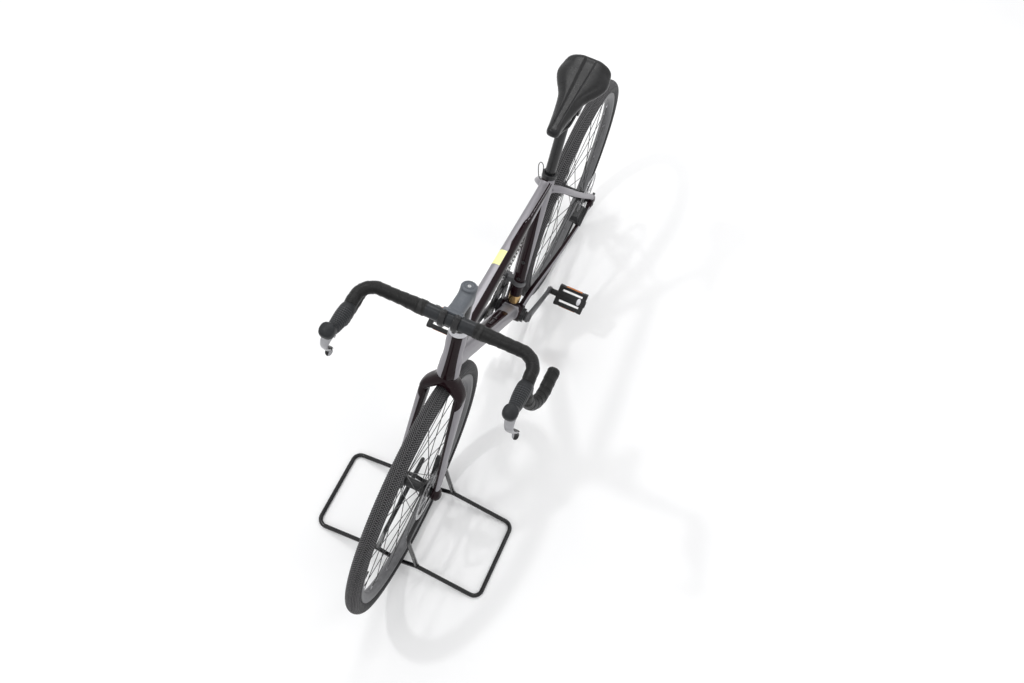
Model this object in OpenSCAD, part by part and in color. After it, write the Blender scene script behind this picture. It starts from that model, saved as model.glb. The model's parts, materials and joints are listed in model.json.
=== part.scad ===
// Gravel bicycle parked in a tubular wheel stand.
// Millimetres, +X forward, +Y to the rider's left, +Z up.
// The origin is on the floor, midway between the two axles.

/* [Frame] */
// Distance between the axles
wheelbase = 1041; // [1000:1:1090]
// Chainstay length, rear axle to crank axis
chainstay_len = 427; // [418:1:445]
// Crank axis below the axles
bb_drop = 72; // [60:1:80]
// Head tube angle from the floor
head_angle = 71.4; // [70:0.1:73]
// Seat tube angle from the floor
seat_angle = 73.8; // [72:0.1:75]
// Head tube length
head_len = 137; // [115:1:170]
// Head tube radius at its lower end
head_r_low = 27; // [25.5:0.5:29]
// Head tube radius at its upper end
head_r_top = 22.5; // [21.5:0.5:25]
// Crank axis to the top of the seat tube
seat_tube_len = 498; // [460:1:530]
// Seat tube outer radius
seat_tube_r = 16.5; // [15.5:0.5:18]
// Top tube depth
top_tube_h = 42; // [34:1:48]
// Top tube width
top_tube_w = 38; // [30:1:44]
// Down tube diameter
down_tube_d = 46; // [38:1:50]
// Half width of the crank shell
bb_half = 34; // [34:1:43]
// Crank shell outer radius
bb_r = 23; // [22:0.5:26]
// Seat tube top to the seatstay joint
stay_drop = 46; // [35:1:90]
// Chainstay depth at the front
chainstay_h = 24; // [18:1:26]
// Seatstay width
seatstay_w = 15; // [12:1:17]

/* [Fork] */
// Front axle ahead of the steering axis
fork_offset = 48; // [43:1:55]
// Front axle to crown race
axle_to_crown = 394; // [388:1:400]
// Steerer radius
steerer_r = 14.3; // [14.3:0.1:15.9]
// Room between tyre and crown
crown_room = 10; // [7:0.5:14]

/* [Wheels] */
// Tyre outer diameter
tyre_d = 702; // [690:1:712]
// Tyre width
tyre_w = 40; // [35:1:44]
// Rim depth
rim_depth = 25; // [20:1:35]
// Rim outer width
rim_w = 29; // [25:1:31]
// Spokes in each wheel
spokes = 28; // [20:4:32]
// Spoke radius
spoke_r = 1; // [0.9:0.1:1.2]
// Front hub width between the fork ends
front_old = 100; // [100:1:110]
// Rear hub width between the frame ends
rear_old = 142; // [135:1:148]
// Wheel axle radius
axle_r = 6; // [5:0.5:7.5]
// Brake rotor diameter
rotor_d = 160; // [140:5:180]

/* [Cockpit] */
// Spacers and upper cover between head tube and stem
stack_h = 93; // [60:1:95]
// Stem length
stem_len = 90; // [70:1:110]
// Stem height on the steerer
stem_h = 42; // [38:1:46]
// Bar radius in the stem clamp
bar_clamp_r = 15.9; // [15.9:0.1:17.5]
// Bar radius elsewhere
bar_r = 11.9; // [11:0.1:12.7]
// Bar half width at the hoods
bar_half = 201; // [190:1:220]
// Bar reach
bar_reach = 78; // [70:1:85]
// Bar drop
bar_drop = 115; // [105:1:130]
// Outward flare of each bar end
bar_flare = 31; // [0:1:45]
// Bar tape thickness
tape_t = 3.2; // [2:0.1:4]
// Bare bar each side of the stem centre
bare_half = 56; // [45:1:80]

/* [Saddle and post] */
// Crank axis to saddle top along the seat tube
saddle_height = 752; // [700:1:780]
// Seatpost radius
post_r = 13.6; // [12.7:0.1:15.4]
// Saddle length
saddle_len = 265; // [245:1:285]
// Saddle width
saddle_w = 144; // [135:1:160]

/* [Drivetrain] */
// Crank arm length
crank_len = 172.5; // [165:0.5:180]
// Right crank angle above forward
crank_angle = 25; // [0:1:90]
// Teeth on the outer chainring
ring_teeth = 48; // [36:12:48]
// Teeth on the sprocket that carries the chain
cog_teeth = 24; // [24:12:36]
// Chainline of the outer chainring
ring_line = 47; // [45:0.5:50]
// Chainline of the sprocket that carries the chain
cog_line = 42.4; // [40:0.1:46]
// Pedal width
pedal_w = 90; // [80:1:105]
// Pedal length
pedal_l = 68; // [60:1:90]

/* [Stand] */
// Stand tube diameter
stand_tube = 12; // [10:1:16]
// Half width of the floor frame
stand_half = 254; // [220:1:280]
// Half length of the floor frame
stand_len = 118; // [110:1:135]
// Height of the hoops beside the wheel
hoop_h = 240; // [210:1:250]

/* [Hidden] */

// Clearances
fit = 0.05;        // running fit on a shaft
gap = 0.3;         // between pieces that sit against each other
wheel_gap = 0.5;   // between a hub face and its dropout
clear = 8;         // between the wheel and what holds it

paint = [0.33, 0.30, 0.32];
plum = [0.12, 0.07, 0.10];
black = [0.08, 0.08, 0.085];
graphite = [0.28, 0.28, 0.30];
silver = [0.75, 0.75, 0.77];
rubber = [0.13, 0.13, 0.14];

// Main points
wheel_r = tyre_d / 2;
front_hub_at = [wheelbase / 2, 0, wheel_r];
rear_hub_at = [-wheelbase / 2, 0, wheel_r];
bb_at = rear_hub_at + [sqrt(pow(chainstay_len, 2) - pow(bb_drop, 2)), 0, -bb_drop];
steer_up = [-cos(head_angle), 0, sin(head_angle)];
steer_fwd = [sin(head_angle), 0, cos(head_angle)];
crown_along = sqrt(pow(axle_to_crown, 2) - pow(fork_offset, 2));
crown_at = front_hub_at - fork_offset * steer_fwd + crown_along * steer_up;
seat_up = [-cos(seat_angle), 0, sin(seat_angle)];
seat_fwd = [sin(seat_angle), 0, cos(seat_angle)];

tyre_c = wheel_r - tyre_w / 2;   // radius of the tyre section's centre
bed_r = tyre_c - 19;             // radius of the rim's tyre bed
rim_in = bed_r + 5 - rim_depth;  // radius of the rim's inner nose
left = 1;
right = -1;

function unit(v) = v / norm(v);
function lerp(a, b, t) = a + (b - a) * t;
function on_steerer(d, fwd = 0, y = 0) = crown_at + d * steer_up + fwd * steer_fwd + [0, y, 0];
function on_seat(d, fwd = 0, y = 0) = bb_at + d * seat_up + fwd * seat_fwd + [0, y, 0];

// Points along a cubic Bezier curve, without its last point
function bezier(a, b, c, d, n) = [for (i = [0:n - 1]) let (t = i / n, s = 1 - t)
    s * s * s * a + 3 * s * s * t * b + 3 * s * t * t * c + t * t * t * d];
function flip_y(path, side) = [for (p = path) [p[0], side * p[1], p[2]]];

module at_head() { translate(crown_at) rotate([0, head_angle - 90, 0]) children(); }
module at_seat() { translate(bb_at) rotate([0, seat_angle - 90, 0]) children(); }
// A cylinder along Y between two distances from the middle plane
module cyl_y(r, y0, y1, r2 = undef) {
    translate([0, y0, 0]) rotate([-90, 0, 0]) cylinder(r1 = r, r2 = r2 == undef ? r : r2, h = y1 - y0, $fn = 48);
}
module mirrored(side) { mirror([0, side == left ? 0 : 1, 0]) children(); }
// A cylinder between two points
module rod(a, b, r, fn = 24) {
    d = b - a;
    translate(a) rotate([0, acos(d[2] / norm(d)), atan2(d[1], d[0])]) cylinder(r = r, h = norm(d), $fn = fn);
}

// Section at p, square to t: half size s[0] along v and s[1] across; an oval, and boxier as power rises above 2
function boxy(c, power) = sign(c) * pow(abs(c), 2 / power);
function ring(p, t, v, s, n, power = 2) = let (u = cross(t, v)) [for (i = [0:n - 1])
    p + s[0] * boxy(cos(360 * i / n), power) * v + s[1] * boxy(sin(360 * i / n), power) * u];
function tangents(path, closed) = let (m = len(path)) [for (i = [0:m - 1])
    unit(closed ? path[(i + 1) % m] - path[(i + m - 1) % m] : path[min(i + 1, m - 1)] - path[max(i - 1, 0)])];
function square_to(w, t) = unit(w - (w * t) * t);
// The section's first direction at each point, carried along the path without twist
function carried(t, w) = let (m = len(t))
    [for (i = 0, v = square_to(w, t[0]); i < m; i = i + 1, v = square_to(v, t[min(i, m - 1)])) v];
function band(m, n, from, flip, closed) = [for (i = [0:closed ? m - 1 : m - 2]) for (j = [0:n - 1])
    let (a = from + i * n + j, b = from + i * n + (j + 1) % n,
         c = from + ((i + 1) % m) * n + j, d = from + ((i + 1) % m) * n + (j + 1) % n)
    each flip ? [[a, b, d], [a, d, c]] : [[a, d, b], [a, c, d]]];

// A solid swept along path, with one oval half size pair per point
module swept(path, sizes, wide = [0, 0, 1], n = 12, closed = false, power = 2) {
    t = tangents(path, closed);
    v = carried(t, wide);
    m = len(path);
    pts = [for (i = [0:m - 1]) each ring(path[i], t[i], v[i], is_list(sizes[0]) ? sizes[i] : sizes, n, power)];
    caps = closed ? [] : [[for (j = [0:n - 1]) j], [for (j = [n - 1:-1:0]) (m - 1) * n + j]];
    polyhedron(pts, concat(band(m, n, 0, false, closed), caps), convexity = 8);
}

// A hollow sleeve swept along path, with one inner and one outer radius per point
module sleeve(path, r_in, r_out, wide = [0, 0, 1], n = 12) {
    t = tangents(path, false);
    v = carried(t, wide);
    m = len(path);
    outer = [for (i = [0:m - 1]) each ring(path[i], t[i], v[i], [r_out[i], r_out[i]], n)];
    inner = [for (i = [0:m - 1]) each ring(path[i], t[i], v[i], [r_in[i], r_in[i]], n)];
    q = m * n;
    ends = [for (j = [0:n - 1]) let (k = (j + 1) % n, e = (m - 1) * n)
        each [[j, k, q + k], [j, q + k, q + j], [e + j, q + e + k, e + k], [e + j, q + e + j, q + e + k]]];
    polyhedron(concat(outer, inner), concat(band(m, n, 0, false, false), band(m, n, q, true, false), ends),
        convexity = 8);
}

// ---- Wheel stand ----

stand_r = stand_tube / 2;
stand_corner = 24;
saddle_rise = 34;                                // rise of the cross bars beside the wheel
hoop_foot = 62;
hoop_y = tyre_w / 2 + clear + stand_r + 1;
hoop_half = stand_len - 6;

// Height of a cross bar's centre where the tyre sits on it
dip_z = wheel_r - sqrt(pow(wheel_r + stand_r + gap, 2) - pow(stand_len, 2));
dip_y = 8;
// The bar climbs from the floor to the hoops and dips under the tyre
function bar_z(y) = y > hoop_foot
    ? stand_r + saddle_rise * (stand_half - stand_corner - y) / (stand_half - stand_corner - hoop_foot)
    : lerp(dip_z, stand_r + saddle_rise, max(0, (y - dip_y) / (hoop_foot - dip_y)));
function stand_corner_pts(sx, sy, from) = [for (a = [from:22.5:from + 90])
    [front_hub_at[0] + sx * (stand_len - stand_corner) + stand_corner * cos(a),
     sy * (stand_half - stand_corner) + stand_corner * sin(a), stand_r]];
function cross_bar(sx, sy) = [for (y = sy * [-205, -110, -hoop_foot - 8, -hoop_foot + 4, -dip_y, dip_y,
    hoop_foot - 4, hoop_foot + 8, 110, 205]) [front_hub_at[0] + sx * stand_len, y, bar_z(abs(y))]];

module stand() color(black) {
    loop = concat(stand_corner_pts(1, -1, -90), cross_bar(1, 1), stand_corner_pts(1, 1, 0),
        stand_corner_pts(-1, 1, 90), cross_bar(-1, -1), stand_corner_pts(-1, -1, 180));
    swept(loop, [stand_r, stand_r], n = 10, closed = true);
    for (side = [left, right]) {
        foot = [front_hub_at[0] - stand_len, side * hoop_foot, bar_z(hoop_foot)];
        top = [front_hub_at[0] - hoop_half, side * hoop_y, hoop_h];
        in = [24, 0, 0];
        bend = concat([foot], bezier(lerp(foot, top, 0.88), lerp(foot, top, 0.97), top + in / 4, top + in, 4));
        back = [for (i = [len(bend) - 1:-1:0]) [2 * front_hub_at[0] - bend[i][0], bend[i][1], bend[i][2]]];
        swept(concat(bend, [top + in], [[2 * front_hub_at[0] - top[0] - in[0], top[1], top[2]]], back),
            [stand_r, stand_r], wide = [0, 1, 0], n = 10);
    }
}

// ---- Fork ----

leg_tilt = atan2(front_hub_at[0] - crown_at[0], crown_at[2] - front_hub_at[2]);
module at_leg() { translate(front_hub_at) rotate([0, -leg_tilt, 0]) children(); }

end_t = 14;                               // thickness of a fork end
end_y = front_old / 2 + wheel_gap + end_t / 2;
arch_half = [26, 15.5];                   // half size of the arch at its top
arch_r = tyre_w / 2 + crown_room + arch_half[1];
leg_top = tyre_c - 20;
stay_square = 2.5;                        // how boxy the fork legs and stays are
tube_square = 3.2;                        // how boxy the top tube is
down_square = 2.6;                        // how boxy the down tube is

// One leg from the dropout up, as [fore-aft offset, side, up]
function leg(side) = [for (t = [0.02, 0.16, 0.4, 0.65, 0.85, 1])
    [0, side * lerp(end_y, arch_r, t), lerp(0, leg_top, t)]];
function leg_size(t) = [lerp(12, 20, pow(t, 1.2)), lerp(end_t / 2 - 1, 12.5, t)];

fork_pad_y = end_y - 3;

module fork() color(plum) {
    leg_sizes = [for (t = [0.02, 0.16, 0.4, 0.65, 0.85, 1]) leg_size(t)];
    back_sizes = [for (i = [len(leg_sizes) - 1:-1:0]) leg_sizes[i]];
    rl = leg(right);
    arch_angles = [15:30:165];
    arch = [for (a = arch_angles) [0, arch_r * cos(a), tyre_c + arch_r * sin(a)]];
    arch_sizes = [for (a = arch_angles) [lerp(20, arch_half[0], sin(a)), lerp(12.5, arch_half[1], sin(a))]];
    difference() {
        union() {
            at_leg() {
                swept(concat(leg(left), arch, [for (i = [len(rl) - 1:-1:0]) rl[i]]),
                    concat(leg_sizes, arch_sizes, back_sizes), wide = [1, 0, 0], n = 16, power = stay_square);
                for (side = [left, right]) mirrored(side) cyl_y(17, end_y - end_t / 2, end_y + end_t / 2);
            }
            fork_mount() mount_pad(fork_pad_y, fork_pad_h);
            at_head() {
                translate([0, 0, -20]) cylinder(r1 = 22, r2 = head_r_low - 0.5, h = 20 - gap, $fn = 64);
                translate([0, 0, -12]) cylinder(r = steerer_r, h = head_len + stack_h + stem_h + 9, $fn = 64);
            }
        }
        at_leg() cyl_y(axle_r + fit, -end_y - end_t, end_y + end_t);
    }
}

module front_axle() color(black) translate(front_hub_at) {
    cyl_y(axle_r, -end_y - end_t / 2 - 1, end_y + end_t / 2 + 3);
    difference() {
        cyl_y(9, end_y + end_t / 2 + gap, end_y + end_t / 2 + 5);
        translate([0, end_y + end_t / 2 + 1.5, 0]) rotate([-90, 30, 0]) cylinder(r = 3.5, h = 9, $fn = 6);
    }
}

// ---- Headset, spacers and stem ----

cover_h = 10;
stem_z = head_len + stack_h + stem_h / 2;   // stem's middle above the crown race
clamp_wall = 4.5;
clamp_w = 46;

module headset_cover() color(silver) at_head() translate([0, 0, head_len + gap]) difference() {
    cylinder(r1 = head_r_top, r2 = 17.5, h = cover_h - gap, $fn = 64);
    translate([0, 0, -1]) cylinder(r = steerer_r + fit, h = cover_h + 2, $fn = 64);
}

module spacers() color(black) at_head() difference() {
    union() for (z = [cover_h:(stack_h - cover_h) / 4:stack_h - 5])
        translate([0, 0, head_len + z]) cylinder(r = 17 - (z > cover_h ? 0 : 0.01), h = (stack_h - cover_h) / 4 - 0.4, $fn = 64);
    translate([0, 0, head_len]) cylinder(r = steerer_r + fit, h = stack_h + 1, $fn = 64);
}

module stem() color(graphite) at_head() difference() {
    union() {
        translate([0, 0, head_len + stack_h]) cylinder(r = steerer_r + clamp_wall, h = stem_h, $fn = 64);
        hull() {
            translate([0, 0, head_len + stack_h + 2]) cylinder(r = steerer_r + clamp_wall - 0.3, h = stem_h - 4, $fn = 32);
            translate([stem_len - 24, 0, stem_z]) cube([4, 36, 30], center = true);
        }
        hull() {
            translate([stem_len - 24, 0, stem_z]) cube([4, 36, 30], center = true);
            translate([stem_len, 0, stem_z]) rotate([90, 0, 0])
                cylinder(r = bar_clamp_r + clamp_wall, h = clamp_w, center = true, $fn = 32);
        }
        // Top cap
        translate([0, 0, head_len + stack_h + stem_h]) cylinder(r1 = steerer_r + clamp_wall, r2 = 15, h = 5, $fn = 64);
    }
    translate([0, 0, head_len]) cylinder(r = steerer_r + fit, h = stack_h + stem_h - 2, $fn = 64);
    translate([stem_len, 0, stem_z]) rotate([90, 0, 0])
        cylinder(r = bar_clamp_r + fit, h = clamp_w + 20, center = true, $fn = 64);
    // The faceplate's half
    translate([stem_len + 1, -clamp_w, stem_z - 50]) cube([60, 2 * clamp_w, 100]);
    // Top cap's bolt recess
    translate([0, 0, head_len + stack_h + stem_h + 2]) cylinder(r = 4.5, h = 9, $fn = 32);
}

module faceplate() color(black) at_head() translate([stem_len, 0, stem_z]) difference() {
    union() {
        rotate([90, 0, 0]) cylinder(r = bar_clamp_r + clamp_wall, h = clamp_w - 1, center = true, $fn = 64);
        for (z = [-1, 1]) for (y = [-1, 1])
            translate([1 + gap, y * 15, z * (bar_clamp_r + 3)]) rotate([0, 90, 0])
                cylinder(r = 4.6, h = 11, $fn = 32);
    }
    rotate([90, 0, 0]) cylinder(r = bar_clamp_r + fit, h = clamp_w + 2, center = true, $fn = 64);
    translate([1 + gap - 60, -clamp_w, -50]) cube([60, 2 * clamp_w, 100]);
    cube([80, 16, 30], center = true);
}

// ---- Handlebar, tape, hoods and levers ----

bar_at = on_steerer(stem_z, stem_len);
corner_r = 40;
hook_r = 36;
hook_big = bar_drop - hook_r;
bar_tail = 44;

function bar_y(z) = bar_half + bar_flare * (-z / bar_drop);
taper_l = 22;                              // the bar narrows over this length beside the stem
round_up = 1 / cos(180 / 12);              // makes a 12-sided sleeve clear a round bar
corner_pts = [for (a = [-90:18:0]) [corner_r + corner_r * sin(a), bar_half - corner_r + corner_r * cos(a), 0]];
hook_pts = [for (a = [90:-18:0]) let (z = hook_r * (sin(a) - 1))
    [bar_reach - hook_r + hook_r * cos(a), bar_y(z), z]];
drop_pts = [for (a = [-12:-15.6:-90]) let (z = -hook_r + hook_big * sin(a))
    [bar_reach - hook_big + hook_big * cos(a), bar_y(z), z]];
tail_pt = [-bar_tail, bar_half + bar_flare, -bar_drop];
side_path = concat([[0, bare_half + taper_l, 0]], corner_pts, hook_pts, drop_pts, [tail_pt]);
function bar_path(side) = [for (p = side_path) bar_at + [p[0], side * p[1], p[2]]];

module handlebar() color(black) {
    translate(bar_at) {
        cyl_y(bar_clamp_r, -bare_half + 1, bare_half - 1);
        for (side = [left, right]) mirrored(side) {
            cyl_y(bar_clamp_r, bare_half - 1, bare_half + taper_l, bar_r + 0.5);
        }
    }
    for (side = [left, right]) {
        path = bar_path(side);
        start = path[0] - [0, side * 6, 0];
        end = path[len(path) - 1] + [-3, 0, 0];
        swept(concat([start], path, [end]), [bar_r, bar_r], n = 12);
    }
}

module tape(side) {
    path = bar_path(side);
    n = len(path);
    start = bar_at + [0, side * bare_half, 0];
    near = bar_at + [0, side * (bare_half + taper_l + 1), 0];
    inner = concat([(bar_clamp_r + gap) * round_up, (bar_r + 0.8) * round_up], [for (i = [2:n]) bar_r + 0.2]);
    outer = concat([bar_clamp_r + tape_t, bar_r + tape_t + 0.8], [for (i = [2:n]) bar_r + tape_t]);
    sleeve(concat([start, near], [for (i = [1:n - 2]) path[i]], [path[n - 1] + [-3.5, 0, 0]]), inner, outer);
}
module tape_left() color(black) tape(left);
module tape_right() color(black) tape(right);

// The hood's centre line from the bar's hook to its knob, relative to the bar's centre
hood_line = [[bar_reach - 9, 0, -8], [bar_reach - 4, 0, -3], [bar_reach + 18, 0, 3], [bar_reach + 40, 0, 9],
    [bar_reach + 58, 0, 17], [bar_reach + 70, 0, 30], [bar_reach + 76, 0, 44], [bar_reach + 78, 0, 52]];
hood_sizes = [[15, 15], [16.5, 16], [17, 16], [16.5, 15], [17.5, 14.5], [17.5, 15.5], [14.5, 14.5], [7, 7.5]];
hood_square = 2.3;

module hood(side) {
    path = [for (p = hood_line) bar_at + p + [0, side * bar_half, 0]];
    difference() {
        swept(path, hood_sizes, n = 16, power = hood_square);
        swept([for (p = bar_path(side)) p], [bar_r + tape_t + gap, bar_r + tape_t + gap], n = 12);
    }
}
module hood_left() color(rubber) hood(left);
module hood_right() color(rubber) hood(right);

lever_line = [[bar_reach + 68, 2, 10], [bar_reach + 81, 4, 2], [bar_reach + 84, 7, -22],
    [bar_reach + 74, 11, -52], [bar_reach + 60, 15, -80], [bar_reach + 58, 17, -96], [bar_reach + 66, 18, -106]];
lever_sizes = [[12, 6], [11, 5.5], [9.5, 5], [8.5, 4.5], [8, 4.2], [8, 4], [6, 3]];

module lever(side) {
    path = [for (p = lever_line) bar_at + [p[0], side * (bar_half + p[1]), p[2]]];
    difference() {
        swept(path, lever_sizes, wide = [0, 1, 0], n = 12);
        swept([for (p = hood_line) bar_at + p + [0, side * bar_half, 0]],
            [for (s = hood_sizes) s + [gap, gap]], n = 16, power = hood_square);
    }
}
module lever_left() color(silver) lever(left);
module lever_right() color(silver) lever(right);

cable_r = 2.2;
function stem_half(x) = lerp(stem_h / 2 - 2, 15, (x - steerer_r - clamp_wall) / (stem_len - 24 - steerer_r - clamp_wall));
// Cables leave the tape's ends below the bar and go in under the stem
module bar_cables() color(black) for (side = [left, right]) for (k = [0, 1]) {
    start = bar_at + [3 - 7 * k, side * (bare_half - 0.5), -bar_clamp_r - cable_r - 1.5 - 1.5 * k];
    x = stem_len - 40 - 7 * k;
    port = on_steerer(stem_z - stem_half(x) - 1.5, x, side * (5 + 5 * k));
    path = concat(bezier(start, start - [3, side * 24, 5], port - 22 * steer_up + [4, side * 12, 0], port, 8), [port]);
    swept(path, [cable_r, cable_r], n = 8);
}

// ---- Front brake ----

rotor_r = rotor_d / 2;
rotor_t = 1.8;
front_rotor_y = front_old / 2 - 10.5;
rear_rotor_y = rear_old / 2 - 15.5;
slot_half = 3;

caliper_l = 62;
caliper_h = 26;
mount_u = 41;                              // wheel axle to the near end of a caliper
fork_pad_h = 16;                           // leg's middle to the top of its brake pad
stay_pad_h = 11;                           // chainstay's middle to the top of its brake pad
stay_pitch = 7.5;                          // fall of the chainstay's rear end
pad_half = 7;

// Brake mounts: x runs along the leg or stay from the axle, z away from its face
module fork_mount() { at_leg() rotate([0, -90, 0]) children(); }
module stay_mount() { translate(rear_hub_at) rotate([0, stay_pitch, 0]) children(); }

// Flat face that a caliper is bolted to
module mount_pad(pad_y, pad_h) {
    translate([mount_u - 3, pad_y - pad_half, 0]) cube([caliper_l + 6, 2 * pad_half, pad_h]);
}
module caliper(rotor_y, pad_y, pad_h) difference() {
    translate([mount_u, 0, pad_h + gap]) {
        hull() {
            translate([2, rotor_y - 13, 3]) cube([caliper_l - 4, 26, 11]);
            translate([9, rotor_y - 9, 3]) cube([caliper_l - 20, 18, caliper_h - 3]);
        }
        translate([0, rotor_y + slot_half + 2, 0]) cube([caliper_l, pad_y + pad_half - rotor_y - slot_half - 3, 7]);
    }
    cyl_y(rotor_r + 2, rotor_y - slot_half, rotor_y + slot_half);
}
module front_caliper() color(black) fork_mount() caliper(front_rotor_y, fork_pad_y, fork_pad_h);

// ---- Frame ----

module head_tube() color(paint) at_head() difference() {
    rotate_extrude($fn = 96) polygon([[0, 0], [head_r_low, 0], [head_r_low, 10], [head_r_low - 3.5, 42],
        [head_r_top - 0.5, head_len * 0.6], [head_r_top, head_len - 12], [head_r_top, head_len], [0, head_len]]);
    translate([0, 0, 12]) cylinder(r = steerer_r + 4, h = head_len - 24, $fn = 64);
    translate([0, 0, -1]) cylinder(r = steerer_r + fit, h = head_len + 2, $fn = 64);
}

top_a = on_steerer(head_len - 38);
top_b = on_seat(seat_tube_len - top_tube_h / 2 - 1);
down_a = on_steerer(40);
down_b = bb_at;

// Cutters a little larger than the tubes that other tubes butt against
module head_cut() { at_head() translate([0, 0, -20]) cylinder(r = head_r_low + gap, h = head_len + 40, $fn = 96); }
module seat_cut() { at_seat() translate([0, 0, -40]) cylinder(r = seat_tube_r + gap, h = seat_tube_len + 80, $fn = 64); }
module shell_cut() { translate(bb_at) cyl_y(bb_r + gap, -bb_half - 40, bb_half + 40); }

module tube_between(a, b, size_a, size_b, power, n = 24) {
    swept([a, lerp(a, b, 0.35), lerp(a, b, 0.7), b],
        [size_a, lerp(size_a, size_b, 0.5), size_b, size_b], n = n, power = power);
}

module top_tube() color(paint) difference() {
    tube_between(top_a, top_b, [top_tube_h / 2, top_tube_w / 2], [top_tube_h / 2 - 3, top_tube_w / 2 - 4], tube_square);
    head_cut();
    seat_cut();
}
module down_form(grow = 0) tube_between(down_a, down_b, [down_tube_d / 2 + grow, down_tube_d / 2 - 1 + grow],
    [down_tube_d / 2 - 1 + grow, down_tube_d / 2 + 2 + grow], down_square);
module down_tube() color(plum) difference() {
    down_form();
    head_cut();
    shell_cut();
    boss_cut();
}
module seat_tube() color(plum) difference() {
    at_seat() cylinder(r = seat_tube_r, h = seat_tube_len, $fn = 64);
    at_seat() translate([0, 0, -1]) cylinder(r = post_r + fit, h = seat_tube_len + 2, $fn = 64);
    shell_cut();
    boss_cut();
    down_form(gap);
}
module bottom_bracket() color(black) translate(bb_at) difference() {
    union() {
        cyl_y(bb_r, -bb_half, bb_half);
        cyl_y(bb_r - 2, -bb_half - 9, bb_half + 9);
    }
    cyl_y(12 + fit, -bb_half - 20, bb_half + 20);
}

end_pad = 16;
end_half = 3.5;
rear_end_y = rear_old / 2 + wheel_gap + 3.5;
// Outline of a rear dropout, grown a little where the stays are cut to it
module dropout_form(grow = 0) hull() for (c = [[0, 0, end_pad], [12, -4, 12], [5, 14, 11]])
    translate([c[0], 0, c[1]]) cyl_y(c[2] + grow, rear_end_y - end_half - grow, rear_end_y + end_half + grow);
eyelet_at = [-14, 13];                     // rack eyelet behind and above the rear axle
eyelet_r = 5.5;
eyelet_hole_r = 2.1;
module dropouts() color(plum) translate(rear_hub_at) {
    for (side = [left, right]) mirrored(side) difference() {
        union() {
            dropout_form();
            hull() {
                cyl_y(12, rear_end_y - end_half, rear_end_y + end_half);
                translate([eyelet_at[0], 0, eyelet_at[1]])
                    cyl_y(eyelet_r, rear_end_y - end_half, rear_end_y + end_half);
            }
        }
        cyl_y(axle_r + fit, rear_end_y - 10, rear_end_y + 10);
        translate([eyelet_at[0], 0, eyelet_at[1]]) cyl_y(eyelet_hole_r, rear_end_y - 10, rear_end_y + 10);
    }
    // Derailleur hanger
    difference() {
        hull() {
            translate([0, 0, -10]) cyl_y(9, -rear_end_y - end_half, -rear_end_y + end_half);
            translate([-4, 0, -28]) cyl_y(8, -rear_end_y - end_half, -rear_end_y + end_half);
        }
        cyl_y(end_pad - 2, -rear_end_y - 10, -rear_end_y + 10);
    }
}

stay_pad_y = rear_end_y - 1;
module chainstays() color(plum) for (side = [left, right]) {
    a = bb_at + [-bb_r + 2, side * (bb_half - 12), 0];
    b = rear_hub_at + [end_pad + 8, side * rear_end_y, -4];
    path = concat(bezier(a, a + [-80, side * 3, 2], b + [150, -side * 4, -14], b, 6), [b]);
    n = len(path) - 1;
    difference() {
        union() {
            swept(path, [for (i = [0:n]) [lerp(chainstay_h / 2, 9, i / n), lerp(9.5, 5.5, i / n)]], n = 16,
                power = stay_square);
            if (side == left) stay_mount() mount_pad(stay_pad_y, stay_pad_h);
        }
        shell_cut();
        seat_cut();
        translate(rear_hub_at) mirrored(side) dropout_form(gap);
    }
}
module seatstays() color(paint) for (side = [left, right]) {
    a = on_seat(seat_tube_len - stay_drop, -seat_tube_r - 4, side * 14);
    b = rear_hub_at + [6, side * rear_end_y, end_pad + 10];
    path = concat(bezier(a, a + [-26, side * 26, -10], a + [-60, side * 40, -75], b, 7), [b]);
    n = len(path) - 1;
    difference() {
        swept(path, [for (i = [0:n]) [lerp(10, 8, i / n), lerp(seatstay_w / 2, 5.5, i / n)]], wide = [1, 0, 0], n = 16,
            power = stay_square);
        seat_cut();
        translate(rear_hub_at) mirrored(side) dropout_form(gap);
    }
}

module rear_axle() color(black) translate(rear_hub_at) {
    cyl_y(axle_r, -rear_end_y - 6, rear_end_y + 6);
    cyl_y(9, rear_end_y + 3.5 + gap, rear_end_y + 8);
}

// Threaded inserts for two bottle cages, on the seat tube's front and the down tube's top
boss_pitch = 64;
boss_r = 4;
boss_hole_r = 2.1;
boss_deep = 9.5;
seat_boss_at = 142;
down_boss_at = 236;
down_dir = unit(down_a - down_b);
down_turn = acos(down_dir[0]);
module boss_frames() {
    for (k = [0, 1]) {
        at_seat() translate([seat_tube_r, 0, seat_boss_at + k * boss_pitch]) rotate([0, 90, 0]) children();
        translate(down_b + (down_boss_at + k * boss_pitch) * down_dir) rotate([0, -down_turn, 0])
            translate([0, 0, down_tube_d / 2 - 0.6]) children();
    }
}
module boss_cut() { boss_frames() translate([0, 0, -boss_deep - gap]) cylinder(r = boss_r + fit, h = 30, $fn = 32); }
module bottle_bosses() color(black) boss_frames() difference() {
    union() {
        translate([0, 0, -boss_deep]) cylinder(r = boss_r, h = boss_deep + 1.4, $fn = 32);
        translate([0, 0, gap]) cylinder(r = boss_r + 1.6, h = 1.4 - gap, $fn = 32);
    }
    translate([0, 0, -boss_deep + 1.5]) cylinder(r = boss_hole_r, h = boss_deep + 9, $fn = 32);
}

module seat_clamp() color(black) at_seat() translate([0, 0, seat_tube_len + gap]) difference() {
    union() {
        cylinder(r = seat_tube_r + 3, h = 14, $fn = 64);
        translate([-seat_tube_r - 11, -7, 0]) cube([14, 14, 14]);
    }
    translate([0, 0, -1]) cylinder(r = post_r + fit, h = 20, $fn = 64);
    translate([-seat_tube_r - 20, -1, -1]) cube([24, 2, 20]);
}

rail_drop = 46;                            // saddle top to the rails
rail_r = 3.5;
rail_y = 22;
post_top = on_seat(saddle_height) - [0, 0, rail_drop];
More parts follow.
